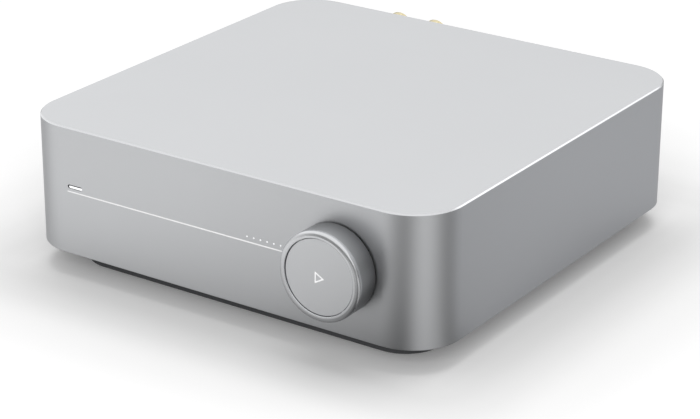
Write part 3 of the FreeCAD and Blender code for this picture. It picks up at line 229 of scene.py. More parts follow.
# Even stripes along one coordinate. With p the place in a stripe from its middle, the height is a soft
# ridge, 2·sqrt(1/4 - p²), and the mask is 1 in the gap between two.
def makeStripes():
    tree, given, out = newGroup(
        "stripes", {"Coordinate": 0.0, "Stripes per metre": 800.0, "Gap": 0.15}, ("Height", "Mask"))
    along = mathOf(tree, "FRACT", times(tree, given[0], given[1]))
    part = mathOf(tree, "ABSOLUTE", mathOf(tree, "SUBTRACT", along, 0.5))
    under = mathOf(tree, "SUBTRACT", 0.25, times(tree, part, part))
    ridge = mathOf(tree, "SQRT", mathOf(tree, "MAXIMUM", under, 0.0))
    edge = mathOf(tree, "SUBTRACT", 0.5, times(tree, given[2], 0.5))
    tree.links.new(times(tree, ridge, 2.0), out["Height"])
    tree.links.new(mathOf(tree, "GREATER_THAN", part, edge), out["Mask"])
    return tree


dustVeil = {"specksPerMetre": 260.0, "detail": 4.0, "upRange": (0.2, 1.0), "speckRange": (0.4, 0.75)}


# A thin veil of dust on faces that look up: 1 where it lies thickest.
def makeDust():
    tree, given, out = newGroup("dust", {"Amount": 0.3}, ("Mask",))
    up = partsOf(tree, addNode(tree, "NewGeometry").outputs["Normal"])[2]
    speck = addNode(tree, "TexNoise", {"Vector": objectPlace(tree), "Scale": dustVeil["specksPerMetre"],
                                       "Detail": dustVeil["detail"]}).outputs["Fac"]
    lies = times(tree, mapRange(tree, up, *dustVeil["upRange"]),
                 mapRange(tree, speck, *dustVeil["speckRange"]))
    tree.links.new(times(tree, lies, given[0]), out["Mask"])
    return tree


fineGrain, turnedLines, stripes, dust = makeFineGrain(), makeTurnedLines(), makeStripes(), makeDust()
print("node groups made")


def grainOf(tree, grains, clouds):
    return useGroup(tree, fineGrain, **{"Grains per metre": grains, "Clouds per metre": clouds})


# Studio: a world that only the metal mirrors as soft panels, a pale floor and two lamps

studio = {
    "ambient": 0.51,        # level of the world for matt surfaces
    "turnAround": (0.0746, -0.07875),   # the panels stand round the near corner of the case
    # (degrees from -Y towards +X, level) of what the metal mirrors: the floor near the case, the
    # floor further off and the low panels, and the high panels
    "near": [(-180, 0.45), (-120, 0.47), (-80, 0.43), (-30, 0.40), (-20, 0.31), (-8, 0.22), (4, 0.14),
             (18, 0.10), (28, 0.21), (38, 0.46), (52, 0.58), (64, 0.52), (78, 0.41), (90, 0.23),
             (104, 0.22), (118, 0.36), (134, 0.55), (150, 0.53), (168, 0.49), (180, 0.45)],
    "far": [(-180, 0.50), (-120, 0.67), (-106, 0.56), (-97, 0.57), (-88, 0.48), (-82, 0.62), (-75, 0.82),
            (-67, 0.92), (-30, 0.99), (-20, 0.94), (-8, 0.63), (4, 0.39), (18, 0.28), (28, 0.40),
            (38, 0.69), (52, 0.82), (64, 0.77), (78, 0.57), (90, 0.32), (104, 0.24), (118, 0.34),
            (134, 0.53), (150, 0.57), (168, 0.54), (180, 0.50)],
    # just above the horizon a dark screen stands in front of the case
    "screen": [(-180, 0.54), (-120, 0.64), (-106, 0.50), (-97, 0.52), (-88, 0.55), (-75, 0.80),
               (-60, 0.90), (-46, 0.84), (-34, 0.33), (-10, 0.27), (18, 0.25), (28, 0.28), (38, 0.36),
               (52, 0.46), (64, 0.50), (78, 0.47), (90, 0.30), (104, 0.22), (118, 0.31), (134, 0.49),
               (150, 0.54), (180, 0.54)],
    "high": [(-180, 1.055), (-70, 1.08), (-50, 1.04), (-25, 0.93), (30, 0.84), (44, 1.1), (62, 1.1),
             (80, 0.5), (110, 0.45), (140, 0.97), (180, 1.055)],
    "screenTop": (0.20, 0.36), "highTop": (0.6, 0.8),   # sine of the elevation over which each ends
    "screenFoot": (0.30, 0.45),     # how far off the floor turns as dark as the screen behind it
    "reach": 0.26,          # how far off "near" has turned to "far"
    # (share of the reach, share of the way from near to far)
    "fade": [(0.0, 0.0), (0.23, 0.0), (0.31, 0.32), (0.37, 0.42), (0.44, 0.5), (0.53, 0.64), (0.6, 0.72),
             (0.67, 0.82), (0.76, 0.89), (0.87, 0.95), (1.0, 1.0)],
    "top": 1.02,            # level overhead
    # the floor behind the case on the right is a little cooler: (degrees, share), colour
    "cool": [(-180, 1.0), (-140, 0.0), (95, 0.0), (125, 1.0), (180, 1.0)],
    "coolColour": (0.955, 0.963, 0.985),
    # softboxes in the world: azimuth, elevation, tightness, level
    "softboxes": [(153, 31, 60.0, 0.9), (-112, 12, 40.0, 0.8)],
    "floorSeen": (0.94, 0.94, 0.94),    # floor for camera rays
    # painted light added to it, uneven so that it shapes the case's shadow: (mm outside the case, level)
    "paintedLift": [(0, 0.09), (5, 0.065), (15, 0.035), (25, 0.04), (45, 0.105), (75, 0.16), (120, 0.2)],
    "liftReach": 120, "caseHalf": 0.095,
    "floorColour": (0.86, 0.86, 0.865),
    "floorHalf": 6.0,
}


# Degrees to the shares of a whole turn that turnShare gives
def roundStops(stops):
    return [(a / 360 + 0.5, level) for a, level in stops]


# Azimuth of (x, y) as a share of a whole turn, with -Y at the half.
def turnShare(tree, x, y):
    turn = mathOf(tree, "ARCTAN2", x, times(tree, y, -1.0))
    return mathOf(tree, "MULTIPLY_ADD", turn, 0.5 / math.pi, 0.5)


# A softbox adds level·exp(tightness·(cos d - 1)) at the angle d from its middle.
def makeWorld():
    world = bpy.data.worlds.new("studio")
    world.use_nodes = True
    tree = world.node_tree
    tree.nodes.clear()
    direction = addNode(tree, "TexCoord").outputs["Generated"]
    x, y, z = partsOf(tree, direction)
    share = turnShare(tree, x, y)
    low, high = (rampOf(tree, share, roundStops(studio[name])) for name in ("screen", "high"))
    side = mixLevel(tree, mapRange(tree, z, *studio["screenTop"], smooth=True), low, high)
    mirrored = mixLevel(tree, mapRange(tree, z, *studio["highTop"], smooth=True), side, studio["top"])
    for azimuth, elevation, tightness, level in studio["softboxes"]:
        a, e = math.radians(azimuth), math.radians(elevation)
        towards = (math.sin(a) * math.cos(e), -math.cos(a) * math.cos(e), math.sin(e))
        near = vectorOf(tree, "DOT_PRODUCT", direction, towards, result="Value")
        fall = times(tree, mathOf(tree, "SUBTRACT", near, 1.0), tightness)
        mirrored = mathOf(tree, "MULTIPLY_ADD", mathOf(tree, "EXPONENT", fall), level, mirrored)
    path = addNode(tree, "LightPath").outputs
    glossy = mathOf(tree, "MAXIMUM", path["Is Glossy Ray"], path["Is Transmission Ray"])
    level = mixLevel(tree, glossy, studio["ambient"], mirrored)
    level = mixLevel(tree, path["Is Camera Ray"], level, 1.0)
    light = addNode(tree, "Background", {"Color": (1, 1, 1, 1), "Strength": level})
    end = tree.nodes.new("ShaderNodeOutputWorld")
    tree.links.new(light.outputs[0], end.inputs["Surface"])
    scene.world = world
    world.cycles.sampling_method = "NONE"
    scene.cycles.caustics_reflective = False


# What the metal mirrors of the floor, by the direction and the distance from the case's near corner
def mirroredFloor(tree):
    place = vectorOf(tree, "SUBTRACT", objectPlace(tree), (*studio["turnAround"], 0))
    away = vectorOf(tree, "LENGTH", place, result="Value")
    x, y, _ = partsOf(tree, place)
    share = turnShare(tree, x, y)
    near, far, screen, cool = (rampOf(tree, share, roundStops(studio[name]))
                               for name in ("near", "far", "screen", "cool"))
    fade = rampOf(tree, mathOf(tree, "DIVIDE", away, studio["reach"]), studio["fade"], "LINEAR")
    level = mixLevel(tree, fade, near, far)
    level = mixLevel(tree, mapRange(tree, away, *studio["screenFoot"], smooth=True), level, screen)
    return mixColour(tree, cool, level, studio["coolColour"], "MULTIPLY")


# Painted light on the floor, which shapes the case's shadow, by the distance outside the case: the length
# of max(|place| - half the case, 0)
def paintedFloorLight(tree):
    outside = vectorOf(tree, "ABSOLUTE", objectPlace(tree))
    outside = vectorOf(tree, "SUBTRACT", outside, (studio["caseHalf"], studio["caseHalf"], 0))
    outside = vectorOf(tree, "LENGTH", vectorOf(tree, "MAXIMUM", outside, (0, 0, 0)), result="Value")
    stops = [(place / studio["liftReach"], level) for place, level in studio["paintedLift"]]
    return rampOf(tree, mathOf(tree, "DIVIDE", outside, studio["liftReach"] * mm), stops)


# A plane with one colour for matt surfaces, one for mirrors, and one for the camera, which also sees
# the painted light on the floor
def makeFloor():
    half = studio["floorHalf"]
    mesh = bpy.data.meshes.new("floor")
    mesh.from_pydata([(-half, -half, 0), (half, -half, 0), (half, half, 0), (-half, half, 0)], [],
                     [(0, 1, 2, 3)])
    floor = bpy.data.objects.new("floor", mesh)
    scene.collection.objects.link(floor)
    material = bpy.data.materials.new("paleFloor")
    material.use_nodes = True
    tree = material.node_tree
    tree.nodes.clear()
    path = addNode(tree, "LightPath").outputs
    colour = mixColour(tree, path["Is Glossy Ray"], studio["floorColour"], mirroredFloor(tree))
    colour = mixColour(tree, path["Is Camera Ray"], colour, studio["floorSeen"])
    matt = addNode(tree, "BsdfDiffuse", {"Color": colour})
    added = times(tree, path["Is Camera Ray"], paintedFloorLight(tree))
    paintedLiftShader = addNode(tree, "Emission", {"Strength": added})
    both = addNode(tree, "AddShader", {0: matt.outputs[0], 1: paintedLiftShader.outputs[0]})
    end = tree.nodes.new("ShaderNodeOutputMaterial")
    tree.links.new(both.outputs[0], end.inputs["Surface"])
    material.cycles.emission_sampling = "NONE"
    mesh.materials.append(material)


lamps = {
    # place, side of the square lamp, watts
    "overhead": ((-0.06, 0.16, 1.30), 1.0, 6.4),
    "front": ((0.63, -1.10, 0.59), 0.8, 7.0),
}


# Square lamps that point to the origin. Neither the camera nor a mirror sees them.
def makeLamps(settings):
    for name, (place, side, watts) in settings.items():
        light = bpy.data.lights.new(name, "AREA")
        light.shape, light.size, light.energy = "SQUARE", side, watts
        lamp = bpy.data.objects.new(name, light)
        lamp.location = place
        lamp.rotation_mode = "QUATERNION"
        lamp.rotation_quaternion = (-Vector(place)).to_track_quat("-Z", "Y")
        lamp.visible_camera = lamp.visible_glossy = False
        scene.collection.objects.link(lamp)


scene.view_settings.view_transform = "Standard"
makeWorld()
makeFloor()
makeLamps(lamps)
print("studio made")


# Finishes

# A plain material with its tree and its shader
def newMaterial(name):
    material = bpy.data.materials.new(name)
    material.use_nodes = True
    tree = material.node_tree
    tree.nodes.clear()
    shader = addNode(tree, "BsdfPrincipled")
    end = tree.nodes.new("ShaderNodeOutputMaterial")
    tree.links.new(shader.outputs[0], end.inputs["Surface"])
    return material, tree, shader


# Links what changes over the surface to the shader, and sets the rest on its sockets.
def paint(tree, shader, colour, roughness, metallic, height, depth, strength):
    bump = addNode(tree, "Bump", {"Height": height, "Distance": depth, "Strength": strength})
    for name, value in (("Base Color", colour), ("Roughness", roughness), ("Metallic", metallic),
                        ("Normal", bump.outputs[0])):
        putOn(tree, shader.inputs[name], value)


blastedMetals = {
    # colour, roughness, grains per metre, depth of the grain in metres
    "case_aluminium": ((0.70, 0.71, 0.725), (0.385, 0.405), 3600.0, 0.000004),
    "knob_aluminium": ((0.72, 0.73, 0.745), (0.22, 0.24), 4200.0, 0.000003),
    "knob_disc": ((0.77, 0.78, 0.795), (0.42, 0.44), 4200.0, 0.000003),
}
blast = {"clouds": 14.0, "darker": 0.99, "strength": 0.5}
# Painted shade on the knob's sleeve: its colour is darker than the knob's metal, and darker still from
# the rim to the panel, along y
sleevePaintedShade = {"from": -0.1087, "to": -0.1005, "colours": ((0.48, 0.485, 0.495), (0.20, 0.202, 0.208)),
              "roughness": 0.33}
# The diamond-cut chamfer round the top, by height
cutChamfer = {"from": 0.06251, "to": 0.06298, "roughness": 0.25, "colour": (0.72, 0.73, 0.745)}


# Blasted metal, uneven in tone and gloss as the clouds go. The case's chamfer is cut bright, and the
# knob's sleeve carries painted shade that grows darker behind its rim.
def blastedMetal(name, values):
    colour, roughness, grains, depth = values
    material, tree, shader = newMaterial(name)
    grain = grainOf(tree, grains, blast["clouds"])
    gloss = mapRange(tree, grain["Cloud"], 0.0, 1.0, *roughness)
    colour = mixColour(tree, grain["Cloud"], colour, darker(colour, blast["darker"]))
    if name == "case_aluminium":
        z = partsOf(tree, objectPlace(tree))[2]
        cut = times(tree, mathOf(tree, "GREATER_THAN", z, cutChamfer["from"]),
                    mathOf(tree, "LESS_THAN", z, cutChamfer["to"]))
        colour = mixColour(tree, cut, colour, cutChamfer["colour"])
        gloss = mixLevel(tree, cut, gloss, cutChamfer["roughness"])
    # painted shade: behind the rim the sleeve is darker than the knob's metal, and darker still towards
    # the panel
    if name == "knob_sleeve":
        y = partsOf(tree, objectPlace(tree))[1]
        behind = mathOf(tree, "GREATER_THAN", y, sleevePaintedShade["from"])
        back = mapRange(tree, y, sleevePaintedShade["from"], sleevePaintedShade["to"])
        colour = mixColour(tree, behind, colour, mixColour(tree, back, *sleevePaintedShade["colours"]))
        gloss = mixLevel(tree, behind, gloss, sleevePaintedShade["roughness"])
    paint(tree, shader, colour, gloss, 1.0, grain["Height"], depth, blast["strength"])
    return material


mouldedPlastics = {
    # colour, roughness, grains per metre, depth of the grain in metres
    "plinth_plastic": ((0.085, 0.087, 0.092), (0.5, 0.62), 1800.0, 0.00002),
    "foot_rubber": ((0.035, 0.035, 0.037), (0.75, 0.9), 1200.0, 0.00002),
    "rear_plastic": ((0.035, 0.035, 0.038), (0.45, 0.6), 1500.0, 0.00003),
    "socket_plastic": ((0.025, 0.025, 0.027), (0.35, 0.5), 2500.0, 0.00001),
    "red_plastic": ((0.62, 0.03, 0.03), (0.28, 0.38), 2500.0, 0.000006),
    "white_plastic": ((0.84, 0.84, 0.82), (0.28, 0.38), 2500.0, 0.000006),
    "chip_resin": ((0.03, 0.03, 0.031), (0.55, 0.7), 4000.0, 0.000012),
    "ferrite": ((0.085, 0.085, 0.095), (0.5, 0.7), 2600.0, 0.00003),
    "film_box": ((0.45, 0.05, 0.04), (0.3, 0.4), 2500.0, 0.000008),
}
mould = {"clouds": 40.0, "darker": 0.88, "strength": 0.6, "dust": 0.05, "dustColour": (0.5, 0.48, 0.45)}


# Plastic with a moulded grain, under a thin veil of dust
def mouldedPlastic(name, values):
    colour, roughness, grains, depth = values
    material, tree, shader = newMaterial(name)
    grain = grainOf(tree, grains, mould["clouds"])
    tone = mixColour(tree, grain["Cloud"], colour, darker(colour, mould["darker"]))
    settled = useGroup(tree, dust, Amount=mould["dust"])["Mask"]
    paint(tree, shader, mixColour(tree, settled, tone, mould["dustColour"]),
          mapRange(tree, grain["Cloud"], 0.0, 1.0, *roughness), 0.0, grain["Height"], depth,
          mould["strength"])
    return material


turnedMetals = {
    # colour, roughness, lines per metre, depth of the lines in metres
    "gold_plate": ((0.78, 0.69, 0.44), (0.16, 0.28), 7000.0, 0.000006),
    "nickel_plate": ((0.70, 0.69, 0.66), (0.16, 0.26), 6000.0, 0.000005),
    "steel": ((0.56, 0.57, 0.59), (0.28, 0.42), 5000.0, 0.000008),
    "dark_steel": ((0.06, 0.06, 0.064), (0.35, 0.5), 5000.0, 0.000006),
    "carried_gold": ((0.78, 0.69, 0.44), (0.18, 0.28), 7000.0, 0.000005),
    "copper_wire": ((0.78, 0.36, 0.20), (0.22, 0.32), 900.0, 0.000004),
    "lined_nickel": ((0.70, 0.69, 0.66), (0.16, 0.26), 6000.0, 0.000005),
}
lathe = {
    "darker": 0.92, "strength": 0.5,
    "slant": (1.0, 0.8, 0.6),       # the lines of a CAD node lie across x + 0.8 y + 0.6 z
    "carried": ("carried_gold", "copper_wire"),     # these follow the piece's own attribute
    "lined": "lined_nickel",
}
# The network socket's room is lined with black plastic: mm from the shell's middle, low side and front
networkRoom = {"halfWide": 5.95, "from": 1.95, "to": 11.85, "behind": 0.4, "colour": (0.03, 0.03, 0.032),
               "roughness": 0.5}


# 1 inside the room, which is a box in the shell's own place, and 0 on the metal round it
def roomMask(tree, values):
    low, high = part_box("network_shell")
    x, y, z = partsOf(tree, objectPlace(tree))
    aside = mathOf(tree, "ABSOLUTE", mathOf(tree, "SUBTRACT", x, (low[0] + high[0]) / 2))
    limits = [("LESS_THAN", aside, values["halfWide"] * mm),
              ("GREATER_THAN", z, low[2] + values["from"] * mm),
              ("LESS_THAN", z, low[2] + values["to"] * mm),
              ("LESS_THAN", y, high[1] - values["behind"] * mm)]
    mask = 1.0
    for kind, value, limit in limits:
        mask = times(tree, mask, mathOf(tree, kind, value, limit))
    return mask


# Metal with lathe marks, which also change its tone and gloss
def turnedMetal(name, values):
    colour, roughness, lines, depth = values
    material, tree, shader = newMaterial(name)
    if name in lathe["carried"]:
        across = addNode(tree, "Attribute", attribute_name="across").outputs["Fac"]
    else:
        across = vectorOf(tree, "DOT_PRODUCT", objectPlace(tree), lathe["slant"], result="Value")
    marks = useGroup(tree, turnedLines, **{"Across": across, "Lines per metre": lines})
    tone = mixColour(tree, marks["Band"], colour, darker(colour, lathe["darker"]))
    gloss = mapRange(tree, marks["Band"], 0.0, 1.0, *roughness)
    metallic = 1.0
    if name == lathe["lined"]:
        mask = roomMask(tree, networkRoom)
        tone = mixColour(tree, mask, tone, networkRoom["colour"])
        gloss = mixLevel(tree, mask, gloss, networkRoom["roughness"])
        metallic = mathOf(tree, "SUBTRACT", 1.0, mask)
    paint(tree, shader, tone, gloss, metallic, marks["Height"], depth, lathe["strength"])
    return material


litPlastics = {
    # colour, roughness, level of its own light
    "light_guide": ((0.93, 0.94, 0.95), (0.25, 0.35), 0.15),
    # the enamel is no lamp: its own light is a painted glow that makes it look brighter
    "white_enamel": ((0.93, 0.93, 0.93), (0.35, 0.45), 0.09),
    "lit_dots": ((0.95, 0.96, 0.97), (0.25, 0.35), 0.42),
    "masked_guide": ((0.96, 0.97, 0.98), (0.25, 0.35), 0.42),
}
guide = {"grains": 2500.0, "clouds": 300.0, "darker": 0.95, "depth": 0.000004, "strength": 0.5}
# Behind this y the status light's guide is painted black, so that light leaves only in front. The black
# also stands in, as painted shade, for the shade in the gap above and left of the guide.
guideMaskAndShade = {"behind": -0.09883, "colour": (0.03, 0.03, 0.032)}


# White pieces. The light guides carry a little light of their own, with a cloudy core, and the white
# enamel, which is no lamp, carries a painted glow as well.
def litPlastic(name, values):
    colour, roughness, glow = values
    material, tree, shader = newMaterial(name)
    grain = grainOf(tree, guide["grains"], guide["clouds"])
    tone = mixColour(tree, grain["Cloud"], colour, darker(colour, guide["darker"]))
    if name == "masked_guide":
        # black mask behind the front, also painted shade in the gap round the guide
        y = partsOf(tree, objectPlace(tree))[1]
        behind = mathOf(tree, "GREATER_THAN", y, guideMaskAndShade["behind"])
        tone = mixColour(tree, behind, tone, guideMaskAndShade["colour"])
    paint(tree, shader, tone, mapRange(tree, grain["Cloud"], 0.0, 1.0, *roughness), 0.0,
          grain["Height"], guide["depth"], guide["strength"])
    putOn(tree, shader.inputs["Emission Color"], tone)
    putOn(tree, shader.inputs["Emission Strength"], glow)
    return material


board = {
    "mask": (0.02, 0.11, 0.055), "track": (0.04, 0.19, 0.09), "pad": (0.72, 0.70, 0.64),
    "tracksPerMetre": 420.0, "trackAt": 0.42, "trackHalf": 0.07, "trackScatter": 0.85,
    "padsPerMetre": 150.0, "padHalf": 0.10, "padScatter": 0.7, "padRise": 1.5,
    "roughness": (0.3, 0.22), "depth": 0.00003, "strength": 0.6,
}


# Solder mask over square-cornered tracks, with small tinned pads in a scatter.
def boardMaterial():
    material, tree, shader = newMaterial("board")
    place = objectPlace(tree)
    cells, dots = (addNode(tree, "TexVoronoi", {"Vector": place, "Scale": board[kind + "sPerMetre"],
                                                "Randomness": board[kind + "Scatter"]},
                           distance="CHEBYCHEV").outputs["Distance"] for kind in ("track", "pad"))
    off = mathOf(tree, "ABSOLUTE", mathOf(tree, "SUBTRACT", cells, board["trackAt"]))
    track = mathOf(tree, "LESS_THAN", off, board["trackHalf"])
    pads = mathOf(tree, "LESS_THAN", dots, board["padHalf"])
    colour = mixColour(tree, pads, mixColour(tree, track, board["mask"], board["track"]), board["pad"])
    height = mathOf(tree, "ADD", track, times(tree, pads, board["padRise"]))
    paint(tree, shader, colour, mapRange(tree, pads, 0.0, 1.0, *board["roughness"]), pads, height,
          board["depth"], board["strength"])
    return material


lappedWraps = {
    # axis that the laps follow, laps per metre, colours of lap and seam, roughness, depth in metres,
    # metallic
    "winding_tape": (2, 110.0, (0.76, 0.56, 0.09), (0.5, 0.35, 0.05), (0.22, 0.32), 0.0001, 0.0),
    "capacitor_sleeve": (2, 62.0, (0.02, 0.03, 0.085), (0.012, 0.018, 0.05), (0.2, 0.32), 0.00006, 0.0),
    "flat_cable": (0, 800.0, (0.80, 0.80, 0.78), (0.5, 0.5, 0.49), (0.45, 0.55), 0.0002, 0.0),
    "heat_sink_aluminium": (2, 520.0, (0.60, 0.61, 0.62), (0.52, 0.53, 0.54), (0.3, 0.42), 0.00002, 1.0),
    "antenna_film": (0, 330.0, (0.07, 0.07, 0.075), (0.22, 0.12, 0.05), (0.35, 0.5), 0.00003, 0.0),
}
wrap = {"gap": 0.16, "grains": 1500.0, "clouds": 60.0, "grainShare": 0.1, "strength": 0.6}


# Ridges side by side, as of tape, fins or strands, with a seam of another colour between them
def lappedWrap(name, values):
    axis, lapsPerMetre, colour, seam, roughness, depth, metallic = values
    material, tree, shader = newMaterial(name)
    along = partsOf(tree, objectPlace(tree))[axis]
    laps = useGroup(tree, stripes,
                    **{"Coordinate": along, "Stripes per metre": lapsPerMetre, "Gap": wrap["gap"]})
    grain = grainOf(tree, wrap["grains"], wrap["clouds"])
    height = times(tree, grain["Height"], wrap["grainShare"])
    height = mathOf(tree, "ADD", laps["Height"], height)
    paint(tree, shader, mixColour(tree, laps["Mask"], colour, seam),
          mapRange(tree, grain["Cloud"], 0.0, 1.0, *roughness), metallic, height, depth,
          wrap["strength"])
    return material


blastedMetals["knob_sleeve"] = blastedMetals["knob_aluminium"]
finishes = {"board": boardMaterial()}
for make, family in ((blastedMetal, blastedMetals), (mouldedPlastic, mouldedPlastics),
                     (turnedMetal, turnedMetals), (litPlastic, litPlastics), (lappedWrap, lappedWraps)):
    finishes.update({name: make(name, values) for name, values in family.items()})
for node in nodes.values():
    for holder in node.material_slots:
        holder.material = finishes[holder.material.name.split(".")[0]]
nodes["level_lens"].material_slots[0].material = finishes["lit_dots"]
nodes["network_shell"].material_slots[0].material = finishes["lined_nickel"]
print("finishes put on", len(nodes), "nodes")


# Shapes worked out as grids of points. Sizes in the dictionaries are millimetres.

weldDistance = 0.0000004        # metres


# Vectors brought to the length 1
def unit(vectors):
    return vectors / np.linalg.norm(vectors, axis=1, keepdims=True)


# A line through corners given as (first, second, rounding). Each corner becomes the curve
# (1-t)² before + 2t(1-t) corner + t² after, where before and after lie the rounding away from it
# on its two sides, with one more point a little further out on each side to keep the flats flat.
def roundedLine(corners, steps=6, support=0.02):
    corners = np.array(corners, float)
    rounding = corners[:, 2:3]
    points = corners[:, :2]
    back, forth = unit(np.roll(points, 1, 0) - points), unit(np.roll(points, -1, 0) - points)
    spare = np.where(rounding > 0, support, 0.0)
    t = np.linspace(0, 1, steps)[None, :, None]
    before, after = points + back * rounding, points + forth * rounding
    curve = (1 - t) ** 2 * before[:, None] + 2 * t * (1 - t) * points[:, None] + t ** 2 * after[:, None]
    first, last = (before + back * spare)[:, None], (after + forth * spare)[:, None]
    return np.concatenate([first, curve, last], 1).reshape(-1, 2)


# Faces of a grid whose columns run round: each point with its neighbour on the right, the one
# below that, and its own below. A closed grid joins its last row to its first.
def gridFaces(rows, columns, closed):
    number = np.arange(rows * columns).reshape(rows, columns)
    right, below = np.roll(number, -1, 1), np.roll(number, -1, 0)
    faces = np.stack([number, right, np.roll(right, -1, 0), below], -1)
    return (faces if closed else faces[:-1]).reshape(-1, 4)


# Grid points to a part. The sum of a·(b x c) over the triangles is six times the volume, and
# where it is negative the faces are turned. Across is how far along its profile each row lies.
def partOf(points, closed):
    rows, columns, _ = points.shape
    faces = gridFaces(rows, columns, closed)
    flat = points.reshape(-1, 3)
    a, b, c, d = (flat[faces[:, k]] for k in range(4))
    volume = (np.cross(a, b) * c).sum() + (np.cross(a, c) * d).sum()
    run = np.concatenate([[0.0], np.linalg.norm(np.diff(points[:, 0], axis=0), axis=1).cumsum()])
    return flat, (faces if volume > 0 else faces[:, ::-1]), np.repeat(run, columns)


# A profile of (radius, place along the axis) turned round a line along y or z: the point at angle a
# is the centre + radius·cos a, radius·sin a, with its place along the axis.
def turned(profile, centre, angles, axis="y"):
    radius, along = (profile[..., k] for k in range(2))
    if radius.ndim == 1:
        radius, along = radius[:, None], along[:, None]
    first, second = radius * np.cos(angles), radius * np.sin(angles)
    third = along + np.zeros_like(first)
    stacked = [first, third, second] if axis == "y" else [first, second, third]
    closed = radius.min() > weldDistance / mm      # a profile that starts and ends on the axis is open
    return partOf((np.stack(stacked, -1) + np.array(centre)) * mm, closed)


# Angles that part a whole turn evenly: 2·pi·k / count
def wholeTurn(count):
    return np.arange(count) * 2 * math.pi / count


# A closed profile of (distance inwards, height) carried round a rounded rectangle: at distance d the
# rectangle is d smaller on each side, and its corners' radius is less by the shrink times d.
def carriedRound(profile, centre, half, corner, shrink, perCorner=16):
    inwards, height = profile[:, :1], profile[:, 1:]
    radius = corner - shrink * inwards
    angles = (np.linspace(0, 90, perCorner)[None, :] + 90 * np.arange(4)[:, None]).ravel()
    signs = np.repeat(np.array([[1, 1], [-1, 1], [-1, -1], [1, -1]]), perCorner, axis=0)
    turn = np.radians(angles)
    x = signs[:, 0] * (half[0] - inwards - radius) + radius * np.cos(turn)
    y = signs[:, 1] * (half[1] - inwards - radius) + radius * np.sin(turn)
    points = np.stack([x, y, height + np.zeros_like(x)], -1) + np.array([*centre, 0.0])
    return partOf(points * mm, True)


# A round wire along a path of points: at each point the ring is the radius times
# (side·cos a + up·sin a), where side is square to the path and to up. The ends close to a point.
def wireAlong(path, up, radius, count=8):
    along = unit(np.gradient(path, axis=0))
    side = unit(np.cross(along, up))
    raised = np.cross(side, along)
    angles = wholeTurn(count)[None, :, None]
    ring = path[:, None] + radius * (side[:, None] * np.cos(angles) + raised[:, None] * np.sin(angles))
    ends = [np.repeat(path[k][None, None], count, 1) for k in (0, -1)]
    return partOf(np.concatenate([ends[0], ring, ends[1]], 0) * mm, False)


# Joins parts to one mesh, closes its seams and poles, and lets it ride on its body.
def addPiece(name, parts, finish, body, standsFor):
    starts = np.cumsum([0] + [len(points) for points, _, _ in parts[:-1]])
    points = np.concatenate([points for points, _, _ in parts])
    faces = np.concatenate([faces + start for (_, faces, _), start in zip(parts, starts)])
    across = np.concatenate([run for _, _, run in parts])
    mesh = bpy.data.meshes.new(name)
    mesh.from_pydata(points.tolist(), [], faces.tolist())
    mesh.attributes.new("across", "FLOAT", "POINT").data.foreach_set("value", across)
    form = bmesh.new()
    form.from_mesh(mesh)
    bmesh.ops.remove_doubles(form, verts=form.verts, dist=weldDistance)
    form.to_mesh(mesh)
    form.free()
    mesh.shade_smooth()
    mesh.materials.append(finishes[finish])
    piece = bpy.data.objects.new(name, mesh)
    scene.collection.objects.link(piece)
    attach(piece, body)
    if standsFor:
        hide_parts(standsFor)


# Middle of a node's box in millimetres
def middleOf(node):
    low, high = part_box(node)
    return (np.array(low) + np.array(high)) / 2 / mm


# Low and high corner of a node's box in millimetres
def cornersOf(node):
    return [np.array(corner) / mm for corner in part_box(node)]


knobRim = {
    # radius, distance behind the front of the rim, rounding: the sleeve, a roll that ends in a slight
    # slope, a thin flat lip, and the seat of the disc
    "profile": [(17.2, 11.1, 0.2), (17.4, 2.2, 0.1), (17.4, 0.42, 0.95), (15.75, 0.0, 0.2),
                (15.0, 0.0, 0.12), (14.9, 0.4, 0.05), (14.9, 2.0, 0.05), (3.05, 2.0, 0.1),
                (3.05, 4.0, 0.1), (15.0, 4.0, 0.1), (15.0, 11.1, 0.1)],
    "steps": 8, "columns": 256, "finish": "knob_sleeve", "node": "knob_ring",
}
knobDisc = {
    "profile": [(0.0, 0.5, 0.0), (14.68, 0.5, 0.15), (14.68, 2.0, 0.1), (0.0, 2.0, 0.0)],
    "steps": 6, "columns": 256, "finish": "knob_disc", "node": "knob_face",
}


# The profile turned round the knob's axis, along y
def makeKnobPiece(name, values):
    x, _, z = middleOf("knob_ring")
    line = roundedLine(values["profile"], values["steps"])
    line[:, 1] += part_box("knob_ring")[0][1] / mm
    part = turned(line, (x, 0, z), wholeTurn(values["columns"]))
    addPiece(name, [part], values["finish"], "knob", values["node"])


playMark = {
    "high": 4.8, "wide": 4.2, "stroke": 0.56, "corner": 0.42,
    "shift": (0.2, -0.37),      # right and down from the knob's middle
    "proud": 0.03,              # the enamel stands this far off the disc
    "cornerSteps": 10, "cornerSupport": 0.3, "archSteps": 9,
}


# The outline is a rounded triangle that points to +x, and each ring inside it lies the inset further
# in. Between its outer and inner edge the enamel's surface rises as a half sine.
def makePlayMark(values):
    low, high = cornersOf("play_mark")
    middle = (low + high) / 2
    tall, wide = values["high"] / 2, values["wide"]
    left, level = middle[0] - wide / 2 + values["shift"][0], middle[2] + values["shift"][1]
    inner = wide * tall / (tall + math.hypot(wide, tall))     # radius of the circle inside the triangle
    centre = np.array([left + inner, level])
    corners = [(left, level - tall), (left, level + tall), (left + wide, level)]
    outline = roundedLine([(*corner, values["corner"]) for corner in corners], values["cornerSteps"],
                          values["cornerSupport"])
    share = np.linspace(0, 1, values["archSteps"])[:, None, None]
    shrink = 1 - share * values["stroke"] / inner
    flat = centre + (outline - centre)[None] * shrink
    rise = low[1] - values["proud"] * np.sin(share[..., 0] * math.pi) + np.zeros(flat.shape[:2])
    top = np.stack([flat[..., 0], rise, flat[..., 1]], -1)
    edges = flat[[-1, 0]]
    root = np.stack([edges[..., 0], np.full(edges.shape[:2], high[1]), edges[..., 1]], -1)
    part = partOf(np.concatenate([top, root]) * mm, True)
    addPiece("playMark", [part], "white_enamel", "knob", "play_mark")


